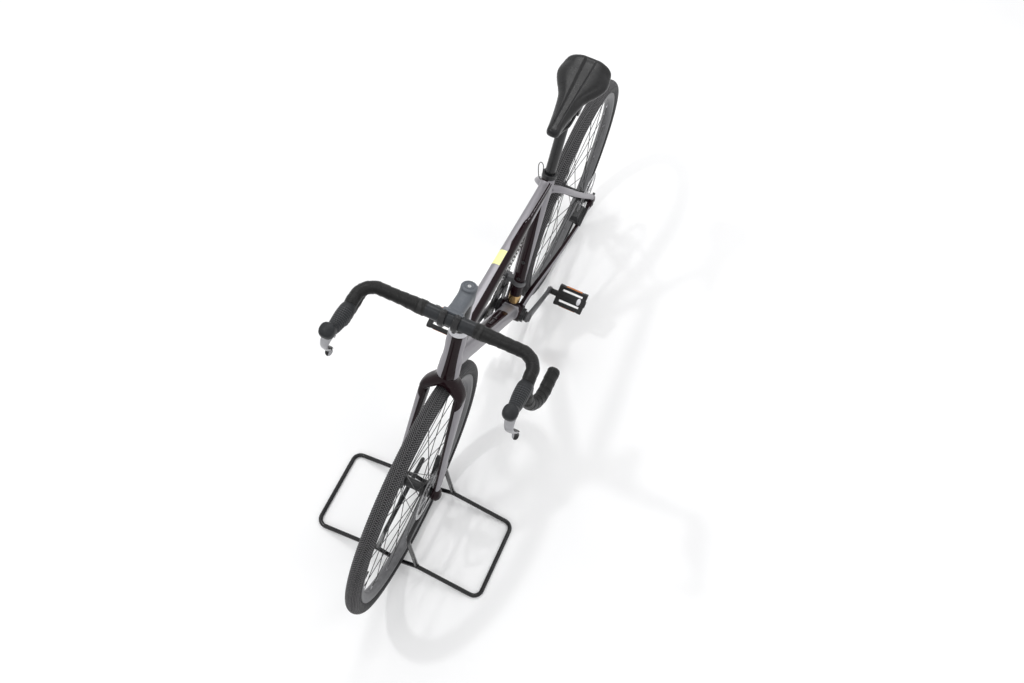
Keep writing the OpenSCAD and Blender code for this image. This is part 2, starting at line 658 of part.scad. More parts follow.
// The rails' centre line: level in the clamp, up to the nose and spread to the tail
function rail_line(side) = [for (p = [[112, -12, 15], [84, -8, 5], [52, 0, 0], [-50, 0, 0], [-84, 12, 9], [-108, 22, 21]])
    post_top + [p[0], side * (rail_y + p[1]), p[2]]];
module rails(extra = 0) for (side = [left, right])
    swept(rail_line(side), [rail_r + extra, rail_r + extra], n = 8);
module seatpost() color(black) difference() {
    union() {
        at_seat() translate([0, 0, seat_tube_len - 80])
            cylinder(r = post_r, h = (post_top - bb_at) * seat_up - seat_tube_len + 80 - 9, $fn = 64);
        translate(post_top - [0, 0, 8]) rotate([90, 0, 0]) cylinder(r = 12, h = 2 * rail_y + 12, center = true, $fn = 48);
        translate(post_top + [0, 0, 5]) cube([34, 2 * rail_y + 12, 7], center = true);
    }
    for (side = [left, right]) translate(post_top + [-saddle_len / 4, side * rail_y, 0]) rotate([0, 90, 0])
        cylinder(r = rail_r + gap, h = saddle_len / 2, $fn = 32);
}
module saddle_rails() color(black) rails();

saddle_top = on_seat(saddle_height);
saddle_x0 = saddle_top[0] - saddle_len * 0.5;
// Half width, edge height and crown height along the saddle from tail to nose
function saddle_half(t) = t < 0.45 ? saddle_w / 2 * lerp(0.80, 1, sin(180 * min(1, t / 0.3) / 2)) *
    (t < 0.2 ? 1 : lerp(1, 0.66, pow((t - 0.2) / 0.25, 1.5))) : lerp(saddle_w * 0.33, 19, pow((t - 0.45) / 0.55, 0.6));
module saddle() color(black) difference() {
    saddle_body();
    rails(gap);
}
module saddle_body() {
    ts = [0, 0.04, 0.12, 0.2, 0.3, 0.4, 0.5, 0.62, 0.75, 0.88, 0.96, 1];
    n = 16;
    pts = [for (t = ts) let (w = saddle_half(t), x = saddle_x0 + saddle_len * t, e = t < 0.04 || t > 0.97 ? 0.86 : 1)
        each [for (i = [0:n - 1]) let (a = 360 * i / n, c = cos(a), s = sin(a))
            [x, w * e * (abs(c) < 0.01 ? 0 : sign(c) * pow(abs(c), 0.7)),
             saddle_top[2] - 14 + (s > 0 ? 14 * e * pow(s, 0.6) : -16 * e * pow(-s, 0.6)) - 10 * pow(abs(c), 3) * w / 70]]];
    m = len(ts);
    polyhedron(pts, concat(band(m, n, 0, false, false),
        [[for (j = [0:n - 1]) j], [for (j = [n - 1:-1:0]) (m - 1) * n + j]]), convexity = 8);
}

// ---- Wheels ----

flange_r = bed_r + 5;             // radius of the rim's outer edge
rim_half = rim_w / 2;

module tyre(at) {
    translate(at) rotate([90, 0, 0]) rotate_extrude($fn = 96) {
        translate([bed_r + 0.2, -rim_half + 3.4]) square([flange_r - bed_r + 2, rim_w - 6.8]);
        difference() {
            translate([tyre_c, 0]) circle(r = tyre_w / 2, $fn = 48);
            translate([bed_r - 10, -tyre_w]) square([flange_r - bed_r + 10 + gap, 2 * tyre_w]);
        }
    }
}
module rim(at) {
    translate(at) rotate([90, 0, 0]) rotate_extrude($fn = 96) polygon([
        [flange_r, rim_half], [flange_r, rim_half - 3], [bed_r, rim_half - 3.2], [bed_r - 1, 5],
        [bed_r - 1, -5], [bed_r, -rim_half + 3.2], [flange_r, -rim_half + 3], [flange_r, -rim_half],
        [rim_in + 14, -rim_half + 0.6], [rim_in + 4, -rim_half * 0.62], [rim_in, -rim_half * 0.3],
        [rim_in, rim_half * 0.3], [rim_in + 4, rim_half * 0.62], [rim_in + 14, rim_half - 0.6]]);
}

flange_t = 4;
outer_room = 1.2;                          // the outer spokes lean in past the flange
// Crossed spokes that lie against both faces of each hub flange and end at the rim
module spoke_set(flange_rad, flange_left, flange_right) {
    pair = 360 / (spokes / 2);
    out = flange_t / 2 + spoke_r + gap;
    for (side = [left, right]) for (k = [0:spokes / 2 - 1]) {
        y = side == left ? flange_left : -flange_right;
        turn = k % 2 == 0 ? 1 : -1;
        at_rim = k * pair + (side == left ? 0 : pair / 2);
        at_hub = at_rim + turn * 78;
        stand_off = turn > 0 ? out + outer_room : -out;
        a = [(flange_rad - 2.5) * cos(at_hub), y + side * stand_off, (flange_rad - 2.5) * sin(at_hub)];
        b = [(rim_in - gap) * cos(at_rim), side * 2.5, (rim_in - gap) * sin(at_rim)];
        rod(a, b, spoke_r, 16);
    }
}

// Hub shell revolved about the axle, given as [radius, distance to the left]
module hub_shell(points) {
    rotate([-90, 0, 0]) rotate_extrude($fn = 64) polygon(concat(points,
        [[axle_r + fit, points[len(points) - 1][1]], [axle_r + fit, points[0][1]]]));
}

front_half = front_old / 2;
front_flange = 22;
module front_hub() color(black) translate(front_hub_at) {
    hub_shell([[10, -front_half], [10, -front_half + 9], [15, -front_half + 12], [15, -36.5], [19, -34], [24, -34], [24, -30],
        [19, -30], [13, -26], [13, 16], [19, 20], [24, 20], [24, 24], [19, 24], [17, 27], [17, front_rotor_y - 1.5], [16, front_rotor_y + 4],
        [10, front_rotor_y + 6], [10, front_half]]);
}
module front_spokes() color(black) translate(front_hub_at) spoke_set(24, front_flange, 32);

rotor_band = 13;
// Brake rotor: a drilled band on six swept arms
module rotor(y) {
    translate([0, y, 0]) rotate([90, 0, 0]) {
        linear_extrude(rotor_t, center = true) difference() {
            circle(r = rotor_r, $fn = 96);
            circle(r = rotor_r - rotor_band, $fn = 96);
            for (k = [0:35]) rotate(k * 10)
                translate([rotor_r - rotor_band / 2 + (k % 2 == 0 ? 3 : -2.6), 0]) circle(r = 2, $fn = 16);
        }
        linear_extrude(rotor_t + 0.8, center = true) difference() {
            circle(r = 26, $fn = 64);
            circle(r = 17 + gap, $fn = 64);
        }
        for (k = [0:5]) rotate(k * 60) linear_extrude(rotor_t - 0.4, center = true)
            polygon([[22, -4], [22, 4], [rotor_r - rotor_band + 1, 24], [rotor_r - rotor_band + 1, 17]]);
    }
}

module front_tyre() color(black) tyre(front_hub_at);
module front_rim() color(graphite) rim(front_hub_at);
module front_rotor() color(silver) translate(front_hub_at) rotor(front_rotor_y);

rear_half = rear_old / 2;
cassette_pitch = 3.95;
cogs = [11, 13, 15, 17, 19, 21, 24, 28, 32, 36];
chain_cog = 6;                                     // place of the sprocket that carries the chain
function cog_y(i) = -cog_line + (i - chain_cog) * cassette_pitch;
module rear_hub() color(black) translate(rear_hub_at) {
    hub_shell([[10, -rear_half], [10, cog_y(0) - 4], [16.5, cog_y(0) - 3.5], [16.5, cog_y(9) + 3], [20, -21], [26, -21], [26, -17],
        [20, -17], [14, -13], [14, 28], [20, 32], [25, 32], [25, 36], [20, 36], [17, 40], [17, rear_rotor_y - 1.5], [16, rear_rotor_y + 4],
        [10, rear_rotor_y + 6], [10, rear_half]]);
}
module rear_spokes() color(black) translate(rear_hub_at) spoke_set(25, 34, 19);
module rear_tyre() color(black) tyre(rear_hub_at);
module rear_rim() color(graphite) rim(rear_hub_at);
module rear_rotor() color(silver) translate(rear_hub_at) rotor(rear_rotor_y);

// ---- Chain drive ----

pitch = 12.7;
roller_r = 3.9;
function pitch_r(teeth) = pitch / 2 / sin(180 / teeth);
// Tooth outline with one root centred on the angle phase
module sprocket(teeth, thick, phase = 0) {
    r = pitch_r(teeth);
    step = 360 / teeth;
    translate([0, 0, -thick / 2]) linear_extrude(thick) rotate(phase) polygon([for (k = [0:teeth - 1]) each [
        for (p = [[-0.13, -roller_r - 0.4], [0.13, -roller_r - 0.4], [0.36, 1.2], [0.44, 3.6], [0.56, 3.6], [0.64, 1.2]])
        (r + p[1]) * [cos((k + p[0]) * step), sin((k + p[0]) * step)]]]);
}
// Draws its children in the plane seen from the right side: x forward, y up, z to the right
module drive_plane(y) { translate([0, y, 0]) rotate([90, 0, 0]) children(); }

function plane(p) = [p[0], p[2]];
function dirn(a) = [cos(a), sin(a)];
function across(a) = [-sin(a), cos(a)];
guide_teeth = 12;
guide_at = plane(rear_hub_at) + [4, -pitch_r(36) - 34];
cage_len = 58;

// Wheels in the order that the chain meets them: centre, teeth, sense, side line
function loop_wheels(cage) = [
    [plane(bb_at), ring_teeth, 1, ring_line],
    [guide_at + cage_len * dirn(cage), guide_teeth, 1, cog_line],
    [guide_at, guide_teeth, -1, cog_line],
    [plane(rear_hub_at), cog_teeth, 1, cog_line]];
function run_angle(a, b) = let (d = b[0] - a[0])
    atan2(d[1], d[0]) - asin((a[2] * pitch_r(a[1]) - b[2] * pitch_r(b[1])) / norm(d));
function run_len(a, b) = let (d = b[0] - a[0])
    sqrt(pow(norm(d), 2) - pow(a[2] * pitch_r(a[1]) - b[2] * pitch_r(b[1]), 2));
function mod360(a) = a - 360 * floor(a / 360);
function sum(v, i = 0) = i < len(v) ? v[i] + sum(v, i + 1) : 0;
// Each stretch: [length in pitches, wheel, angle in, sense] and then the run to the next wheel
function stretches(w) = [for (i = [0:3]) let (before = w[(i + 3) % 4], here = w[i], next = w[(i + 1) % 4],
    come = run_angle(before, here), go = run_angle(here, next), turn = mod360(here[2] * (come - go)))
    each [[turn * here[1] / 360, here, come, next], [run_len(here, next) / pitch, here, go, next]]];
function loop_pitches(cage) = sum([for (s = stretches(loop_wheels(cage))) s[0]]);
cage_low = -125;
cage_high = -35;
links = 2 * round(loop_pitches(-80) / 2);
// Cage angle at which the loop holds a whole number of links
function find_cage(lo, hi, n) = let (mid = (lo + hi) / 2) n == 0 ? mid :
    (loop_pitches(mid) - links) * (loop_pitches(hi) - links) < 0 ? find_cage(mid, hi, n - 1) : find_cage(lo, mid, n - 1);
cage = find_cage(cage_low, cage_high, 24);
path_parts = stretches(loop_wheels(cage));
function starts(i = 0, at = 0) = i == len(path_parts) ? [] : concat([at], starts(i + 1, at + path_parts[i][0]));
part_starts = starts();
function on_part(i, s) = let (p = path_parts[i], w = p[1], odd = i % 2 == 1,
    a = odd ? p[2] : p[2] - w[2] * s * 360 / w[1],
    edge = w[0] + w[2] * pitch_r(w[1]) * across(a),
    q = odd ? edge + s * pitch * dirn(a) : edge,
    y = odd ? lerp(w[3], p[3][3], s / p[0]) : w[3])
    [q[0], -y, q[1]];
function pin_at(k) = let (i = max([for (j = [0:7]) if (part_starts[j] <= k) j])) on_part(i, k - part_starts[i]);
// Angle of a pin seen from the centre of the wheel it sits on
function phase_of(i) = let (k = ceil(part_starts[2 * i] + 0.001), d = plane(pin_at(k)) - path_parts[2 * i][1][0])
    atan2(d[1], d[0]);

module chain() color(graphite) {
    plate = 0.8;
    for (k = [0:links - 1]) {
        a = pin_at(k);
        b = pin_at((k + 1) % links);
        d = b - a;
        off = k % 2 == 0 ? 1.5 : 2.25;
        translate(a) rotate([0, -atan2(d[2], d[0]), 0]) {
            for (side = [left, right])
                translate([-2.6, side * off - plate / 2, -3.4]) cube([norm(d) + 5.2, plate, 6.8]);
            rotate([90, 0, 0]) cylinder(r = 3, h = 2.4, center = true, $fn = 6);
        }
    }
}

module cassette() color(silver) translate(rear_hub_at) difference() {
    union() {
        for (i = [0:9]) drive_plane(cog_y(i)) sprocket(i == chain_cog ? cog_teeth : cogs[i], 1.6,
            i == chain_cog ? phase_of(3) : 0);
        for (i = [0:9]) drive_plane(cog_y(i)) cylinder(r = pitch_r(i == chain_cog ? cog_teeth : cogs[i]) * 0.5 + 8,
            h = i == 0 ? 1 : cassette_pitch, center = i == 0, $fn = 48);
    }
    cyl_y(16.5 + gap, -rear_old, 0);
}

// ---- Crank ----

crank_spread = 67;           // middle of each arm's outer end from the bicycle's middle plane
spindle_r = 12;
inner_teeth = 31;
function crank_dir(side) = -side * [cos(crank_angle), 0, sin(crank_angle)];
pedal_eye = crank_spread;
arm_bow = 1.8;               // each arm bows out past the front derailleur
module crank_arm(side) {
    a = bb_at + [0, side * (bb_half + 18), 0];
    b = bb_at + crank_len * crank_dir(side) + [0, side * pedal_eye, 0];
    mid = lerp(a, b, 0.45) + [0, side * arm_bow, 0];
    hull() {
        translate(bb_at) mirrored(side) cyl_y(16, bb_half + 12.5, bb_half + 27);
        translate(mid) rotate([90, 0, 0]) cylinder(r = 13, h = 14, center = true, $fn = 32);
    }
    hull() {
        translate(mid) rotate([90, 0, 0]) cylinder(r = 13, h = 14, center = true, $fn = 32);
        translate(b) rotate([90, 0, 0]) cylinder(r = 14, h = 13, center = true, $fn = 32);
    }
}
module pedal_hole(side) {
    translate(bb_at + crank_len * crank_dir(side)) cyl_y(7 + fit, side * pedal_eye - 20, side * pedal_eye + 20);
}
module crank_right() color(graphite) {
    difference() {
        union() {
            crank_arm(right);
            // Spider
            translate(bb_at) for (k = [0:3]) rotate([0, -crank_angle - 45 - 90 * k, 0])
                hull() {
                    cyl_y(14, -ring_line - 5.5, -ring_line - 1.6 - gap);
                    translate([55, 0, 0]) cyl_y(7, -ring_line - 5.5, -ring_line - 1.6 - gap);
                }
        }
        pedal_hole(right);
    }
    translate(bb_at) cyl_y(spindle_r, -bb_half - 12, bb_half + 30);
}
module crank_left() color(graphite) difference() {
    crank_arm(left);
    pedal_hole(left);
    translate(bb_at) cyl_y(spindle_r + fit, 0, bb_half + 60);
}
module chainrings() color(black) translate(bb_at) {
    difference() {
        drive_plane(-ring_line) sprocket(ring_teeth, 1.6, phase_of(0));
        cyl_y(pitch_r(ring_teeth) - 14, -ring_line - 5, -ring_line + 5);
    }
    difference() {
        cyl_y(pitch_r(ring_teeth) - 13.9, -ring_line - 1.6, -ring_line + 1.6);
        cyl_y(50, -ring_line - 5, -ring_line + 5);
        for (k = [0:11]) rotate([0, 30 * k + 15, 0]) translate([67, 0, 0]) cyl_y(5.5, -ring_line - 5, -ring_line + 5);
    }
    difference() {
        drive_plane(-ring_line + 7) sprocket(inner_teeth, 2, 0);
        cyl_y(48, -ring_line - 5, -ring_line + 15);
    }
    for (k = [0:3]) rotate([0, -crank_angle - 45 - 90 * k, 0]) translate([54, 0, 0])
        cyl_y(4.5, -ring_line + 1.5, -ring_line + 6.2);
}

// ---- Pedals ----

pedal_pitch = 28;              // how far the pedal's front hangs down
pedal_h = 26;
pedal_y0 = pedal_eye + 14 + 12;
module at_pedal(side) { translate(bb_at + crank_len * crank_dir(side)) rotate([0, pedal_pitch, 0]) children(); }
pedal_bar = 6.5;               // thickness of the cage's front and rear bars
pedal_window = 13;             // open width between a bar and the middle block
pedal_teeth = 9;
tooth_deep = 2.2;
pedal_mid_y = pedal_y0 + pedal_w / 2;
// Seen from the end, the body is thickest at its bars and thinner over the axle
module pedal_profile() polygon([for (s = [-1, 1]) each [for (p = [[-pedal_l / 2 + 2, pedal_h / 2], [-pedal_l / 2 + pedal_bar, pedal_h / 2],
    [-pedal_l / 4, pedal_h / 2 - 4], [pedal_l / 4, pedal_h / 2 - 4], [pedal_l / 2 - pedal_bar, pedal_h / 2],
    [pedal_l / 2 - 2, pedal_h / 2], [pedal_l / 2, pedal_h / 2 - 3]]) -s * p]]);
module pedal(side) at_pedal(side) mirrored(side) {
    cyl_y(7, pedal_eye - 6, pedal_eye + 14);
    cyl_y(9, pedal_eye + 7.5, pedal_y0 + 1);
    difference() {
        union() {
            translate([0, pedal_y0 + pedal_w, 0]) rotate([90, 0, 0]) linear_extrude(pedal_w) pedal_profile();
            cyl_y(pedal_h / 2 - 1.5, pedal_y0, pedal_y0 + pedal_w + 1.5);
        }
        for (s = [-1, 1]) {
            translate([s * (pedal_l / 2 - pedal_bar - pedal_window / 2), pedal_mid_y, 0])
                cube([pedal_window, pedal_w - 16, 2 * pedal_h], center = true);
            translate([s * pedal_l / 2, pedal_mid_y, 0]) cube([4, 52, 15], center = true);
            for (k = [0:pedal_teeth - 1], up = [-1, 1])
                translate([s * pedal_l / 2, pedal_mid_y + (k - (pedal_teeth - 1) / 2) * (pedal_w - 12) / pedal_teeth,
                    up * pedal_h / 2]) cube([2 * pedal_bar + 1, 4, 2 * tooth_deep], center = true);
        }
    }
}
module pedal_left() color(black) pedal(left);
module pedal_right() color(black) pedal(right);
module reflectors(side) at_pedal(side) mirrored(side) for (s = [-1, 1])
    translate([s * (pedal_l / 2 - 0.4), pedal_y0 + pedal_w / 2, 0]) cube([2.6, 51.4, 14.4], center = true);
module reflectors_left() color([0.95, 0.45, 0.05]) reflectors(left);
module reflectors_right() color([0.95, 0.45, 0.05]) reflectors(right);

// ---- Derailleurs and rear brake ----

guide_y = -cog_line;
tension_at = loop_wheels(cage)[1][0];
function in_space(p, y) = [p[0], y, p[1]];
module derailleur_pulleys() color(black) {
    for (i = [1, 2]) translate(in_space(path_parts[2 * i][1][0], 0)) difference() {
        drive_plane(guide_y) sprocket(guide_teeth, 1.6, phase_of(i));
        cyl_y(3 + gap, 2 * guide_y, 0);
    }
}
module rear_derailleur() color(graphite) {
    g = in_space(guide_at, 0);
    t = in_space(tension_at, 0);
    for (y = [guide_y - 6.6, guide_y + 4.8]) difference() {
        hull() {
            translate(g) cyl_y(9, y, y + 1.8);
            translate(t) cyl_y(9, y, y + 1.8);
        }
    }
    for (p = [g, t]) translate(p) cyl_y(3, guide_y - 6, guide_y + 6);
    // Body from the hanger to the cage
    h = rear_hub_at + [-4, 0, -28];
    translate(h) cyl_y(9, -rear_end_y - 16, -rear_end_y - 3.5 - gap);
    hull() {
        translate(h) cyl_y(8, -rear_end_y - 16, -rear_end_y - 6);
        translate(lerp(h, g, 0.5) + [-22, 0, 0]) cyl_y(9, -rear_end_y - 14, -rear_end_y - 3);
    }
    hull() {
        translate(lerp(h, g, 0.5) + [-22, 0, 0]) cyl_y(9, -rear_end_y - 12, -rear_end_y + 4);
        translate(g) cyl_y(10, guide_y - 24, guide_y - 7);
    }
    translate(g) cyl_y(8, guide_y - 8, guide_y - 6);
}
cage_half = 5.6;                           // chain's line to the cage's outer face
module front_derailleur() color(graphite) {
    r = pitch_r(ring_teeth);
    translate(bb_at) {
        for (y = [-ring_line - cage_half, -ring_line + 5]) difference() {
            cyl_y(r + 24, y, y + 1.2);
            cyl_y(r + 7, y - 5, y + 5);
            rotate([0, 14, 0]) translate([-300, y - 5, -400]) cube([600, 10, 478]);
            rotate([0, -24, 0]) translate([-300, y - 5, -300]) cube([300 - 58, 10, 600]);
            rotate([0, 14, 0]) translate([26, y - 5, -300]) cube([300, 10, 600]);
        }
    }
    p = on_seat(pitch_r(ring_teeth) + 30, seat_tube_r);
    difference() {
        union() {
            at_seat() translate([0, 0, r + 17]) cylinder(r = seat_tube_r + 4, h = 14, $fn = 48);
            at_seat() translate([-6, -34, r + 15]) cube([16, 20, 18]);
            at_seat() translate([-14, -ring_line - cage_half, r + 16.5]) cube([14, cage_half + 6.2, 8]);
            at_seat() translate([-12, -ring_line + 4, r + 13]) cube([12, 16, 20]);
        }
        at_seat() cylinder(r = seat_tube_r + gap, h = r + 90, $fn = 48);
    }
}
module rear_caliper() color(black) stay_mount() caliper(rear_rotor_y, stay_pad_y, stay_pad_h);

stand();
fork();
front_axle();
headset_cover();
spacers();
stem();
faceplate();
handlebar();
tape_left();
tape_right();
hood_left();
hood_right();
lever_left();
lever_right();
bar_cables();
front_caliper();
head_tube();
top_tube();
down_tube();
seat_tube();
bottom_bracket();
chainstays();
seatstays();
dropouts();
rear_axle();
bottle_bosses();
seat_clamp();
seatpost();
saddle_rails();
saddle();
front_derailleur();
rear_derailleur();
derailleur_pulleys();
chain();
rear_caliper();
front_tyre();
front_rim();
front_spokes();
front_hub();
front_rotor();
rear_tyre();
rear_rim();
rear_spokes();
rear_hub();
rear_rotor();
cassette();
crank_right();
chainrings();
crank_left();
pedal_left();
pedal_right();
reflectors_left();
reflectors_right();
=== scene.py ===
"""Looks of a gravel bicycle parked in a tubular wheel stand: finishes, tyres, tape, saddle, cables and trim.
Metres, +X forward, +Y to the rider's left, +Z up, the floor at z = 0."""

import json
import math

import bmesh
import bpy
import numpy as np
from mathutils import Matrix


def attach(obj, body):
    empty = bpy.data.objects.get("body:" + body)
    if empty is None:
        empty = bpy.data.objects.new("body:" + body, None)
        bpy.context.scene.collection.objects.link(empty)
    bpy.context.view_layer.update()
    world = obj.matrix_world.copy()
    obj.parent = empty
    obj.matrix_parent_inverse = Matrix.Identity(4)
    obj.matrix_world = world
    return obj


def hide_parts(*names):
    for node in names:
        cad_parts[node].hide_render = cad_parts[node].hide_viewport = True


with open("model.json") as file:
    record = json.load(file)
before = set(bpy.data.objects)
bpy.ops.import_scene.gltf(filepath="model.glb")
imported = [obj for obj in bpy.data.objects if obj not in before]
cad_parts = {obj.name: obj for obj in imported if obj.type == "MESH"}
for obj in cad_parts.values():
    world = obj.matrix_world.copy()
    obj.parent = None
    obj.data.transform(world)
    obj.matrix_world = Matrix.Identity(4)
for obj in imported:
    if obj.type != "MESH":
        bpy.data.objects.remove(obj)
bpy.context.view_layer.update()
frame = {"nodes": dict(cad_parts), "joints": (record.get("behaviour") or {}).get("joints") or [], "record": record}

# ---- Places and sizes, from the frame ----

LEFT, RIGHT = 1, -1
SIDES = ((LEFT, "left"), (RIGHT, "right"))
UP = np.array([0.0, 0.0, 1.0])
ACROSS = np.array([0.0, 1.0, 0.0])
MM = 0.001

joints = {j["name"]: j for j in frame["joints"]}
mounts = {m["name"]: m for m in frame["record"]["mounts"]}


def joint_at(name):
    """Where a joint's axis passes."""
    return np.array(joints[name]["pos_m"], float)


def square_fwd(up):
    """The forward direction square to an axis in the middle plane."""
    return np.array([up[2], 0.0, -up[0]])


FRONT_HUB = joint_at("front_wheel_spin")
REAR_HUB = joint_at("rear_wheel_spin")
CRANK = joint_at("crank_spin")
STEER_UP = np.array(joints["steering"]["axis"], float)
STEER_FWD = square_fwd(STEER_UP)
SEAT_UP = np.array(mounts["seatpost"]["axis"], float)
SEAT_FWD = square_fwd(SEAT_UP)

TYRE_R = 0.351
TYRE_HALF = 0.020
FORK_OFFSET = 0.048
AXLE_TO_CROWN = 0.394
CROWN = joint_at("steering") + STEER_UP * math.sqrt(AXLE_TO_CROWN**2 - FORK_OFFSET**2)
HEAD_LEN = 0.137
STACK_H = 0.093
STEM_H = 0.042
STEM_LEN = 0.090
STEM_AT = HEAD_LEN + STACK_H + STEM_H / 2
STEERER_R = 0.0143
SEAT_TUBE_LEN = 0.498
SEAT_TUBE_R = 0.0165
POST_R = 0.0136
BAR_R = 0.0119
BAR_CLAMP_R = 0.0159
BAR_HALF = 0.201
BAR_REACH = 0.078
BAR_DROP = 0.115
BAR_FLARE = 0.031
BARE_HALF = 0.056
TAPE_T = 0.0032


def on_steerer(along, fwd=0.0, y=0.0):
    """A point by its height on the steering axis above the crown, and ahead of it."""
    return CROWN + along * STEER_UP + fwd * STEER_FWD + y * ACROSS


def on_seat(along, fwd=0.0, y=0.0):
    """A point by its distance along the seat tube from the crank axis, and ahead of it."""
    return CRANK + along * SEAT_UP + fwd * SEAT_FWD + y * ACROSS


BAR_AT = on_steerer(STEM_AT, STEM_LEN)

# ---- Curves and sections ----


def unit(v):
    """A vector's direction."""
    return v / np.linalg.norm(v)


def mix(a, b, t):
    """A value between a and b."""
    return a + (b - a) * t


def smooth(a, b, x):
    """0 before a, 1 after b, and a soft step between."""
    t = np.clip((x - a) / (b - a), 0, 1)
    return t * t * (3 - 2 * t)


def bezier(a, b, c, d, n):
    """n + 1 points along a cubic curve."""
    t = np.linspace(0, 1, n + 1)[:, None]
    s = 1 - t
    return s**3 * a + 3 * s * s * t * b + 3 * s * t * t * c + t**3 * d


def lengths(path):
    """How far along the path each point lies."""
    return np.concatenate([[0], np.cumsum(np.linalg.norm(np.diff(path, axis=0), axis=1))])


def through(points, n):
    """n + 1 evenly spaced points on a smooth curve through a few given ones."""
    p = np.array(points, float)
    p = np.vstack([2 * p[0] - p[1], p, 2 * p[-1] - p[-2]])
    out = []
    for k in range(1, len(p) - 2):
        t = np.linspace(0, 1, 24, endpoint=False)[:, None]
        a, b, c, d = p[k - 1], p[k], p[k + 1], p[k + 2]
        out.append(0.5 * (2 * b + (c - a) * t + (2 * a - 5 * b + 4 * c - d) * t**2
                          + (3 * b - a - 3 * c + d) * t**3))
    out = np.vstack(out + [p[-2:-1]])
    far = lengths(out[:, :3])
    at = np.linspace(0, far[-1], n + 1)
    return np.stack([np.interp(at, far, out[:, k]) for k in range(out.shape[1])], 1)


def along_path(path):
    """Unit tangents of a path."""
    t = np.gradient(np.asarray(path, float), axis=0)
    return t / np.linalg.norm(t, axis=1)[:, None]


def carried(tangents, start):
    """Directions square to the path that don't twist along it."""
    out = []
    v = np.asarray(start, float)
    for t in tangents:
        v = unit(v - np.dot(v, t) * t)
        out.append(v)
    return np.array(out)


def section(n, power=2.0):
    """Points round an oval with half sizes of 1, squarer as power rises."""
    a = np.linspace(0, 2 * math.pi, n, endpoint=False)
    c, s = np.cos(a), np.sin(a)
    return np.sign(c) * np.abs(c) ** (2 / power), np.sign(s) * np.abs(s) ** (2 / power)


def loft(path, sizes, first=UP, n=32, power=2.0, closed=False):
    """Verts and faces of a tube along path; sizes are half widths along `first` and across it."""
    path = np.asarray(path, float)
    sizes = np.broadcast_to(np.asarray(sizes, float), (len(path), 2))
    if closed:
        t = np.roll(path, -1, 0) - np.roll(path, 1, 0)
        t = t / np.linalg.norm(t, axis=1)[:, None]
    else:
        t = along_path(path)
    c, s = section(n, power)
    return rings(path, t, first, sizes[:, :1] * c, sizes[:, 1:] * s), band_faces(len(path), n, closed)


def rings(path, tangents, first, tall, wide):
    """Points round a path: each ring's offsets along `first`, carried without twist, and across it."""
    v = carried(tangents, first)
    u = np.cross(tangents, v)
    return (path[:, None] + v[:, None] * tall[..., None] + u[:, None] * wide[..., None]).reshape(-1, 3)


def band_faces(rows, n, closed=False, caps=True):
    """Quads joining rows of n points each, with flat ends."""
    faces = []
    for i in range(rows if closed else rows - 1):
        for j in range(n):
            k = (j + 1) % n
            m = (i + 1) % rows
            faces.append((i * n + j, i * n + k, m * n + k, m * n + j))
    if caps and not closed:
        faces.append(tuple(range(n - 1, -1, -1)))
        faces.append(tuple(range((rows - 1) * n, rows * n)))
    return faces


def revolve(profile, n=96, closed_profile=False):
    """A ring about +Y from (radius, y) points."""
    profile = np.asarray(profile, float)
    a = np.linspace(0, 2 * math.pi, n, endpoint=False)
    verts = np.stack([np.outer(np.cos(a), profile[:, 0]), np.tile(profile[:, 1], (n, 1)),
                      np.outer(np.sin(a), profile[:, 0])], 2).reshape(-1, 3)
    m = len(profile)
    faces = []
    for i in range(n):
        k = (i + 1) % n
        for j in range(m if closed_profile else m - 1):
            q = (j + 1) % m
            faces.append((i * m + j, i * m + q, k * m + q, k * m + j))
    return verts, faces


def placed(verts, x, y, z, at):
    """Verts given in the axes x, y, z, moved to `at`."""
    v = np.asarray(verts, float)
    return at + v[:, :1] * x + v[:, 1:2] * y + v[:, 2:] * z


def merged(shapes):
    """Several (verts, faces) as one."""
    verts, faces, base = [], [], 0
    for v, f in shapes:
        verts.append(v)
        faces += [tuple(i + base for i in face) for face in f]
        base += len(v)
    return np.vstack(verts), faces


def evenly(radii):
    """Round sizes for a tube."""
    return [(r, r) for r in radii]


def beside(axis):
    """A direction well away from an axis."""
    return UP if abs(axis[2]) < 0.9 else np.array([1.0, 0, 0])


def rounded_rod(a, b, r, round_r=0.0005, n=24):
    """A short rod from a to b with softened rims."""
    a, b = np.asarray(a, float), np.asarray(b, float)
    t = unit(b - a)
    k = round_r
    at = [a, a, a + 0.3 * k * t, a + k * t, b - k * t, b - 0.3 * k * t, b, b]
    rr = [0.001 * r, r - k, r - 0.3 * k, r, r, r - 0.3 * k, r - k, 0.001 * r]
    path = np.array(at) + np.linspace(0, 1e-7, 8)[:, None] * t
    c, s = section(n)
    rr = np.array(rr)[:, None]
    return rings(path, np.tile(t, (8, 1)), beside(t), rr * c, rr * s), band_faces(8, n)


def slab(outer, inner, n):
    """A closed shell between two grids of points with n to a row."""
    size = len(outer)
    starts = [k * n for k in range(size // n - 1)]
    faces = []
    for p in (start + j for start in starts for j in range(n - 1)):
        faces += [(p, p + 1, p + n + 1, p + n), tuple(size + q for q in (p, p + n, p + n + 1, p + 1))]
    rim = [(p, p + 1) for j in range(n - 1) for p in (j, size - n + j)]
    rim += [(p, p + n) for start in starts for p in (start, start + n - 1)]
    return np.array(outer + inner), faces + [(a, b, b + size, a + size) for a, b in rim]


# ---- Making pieces ----

SHARP_FROM = math.radians(35)


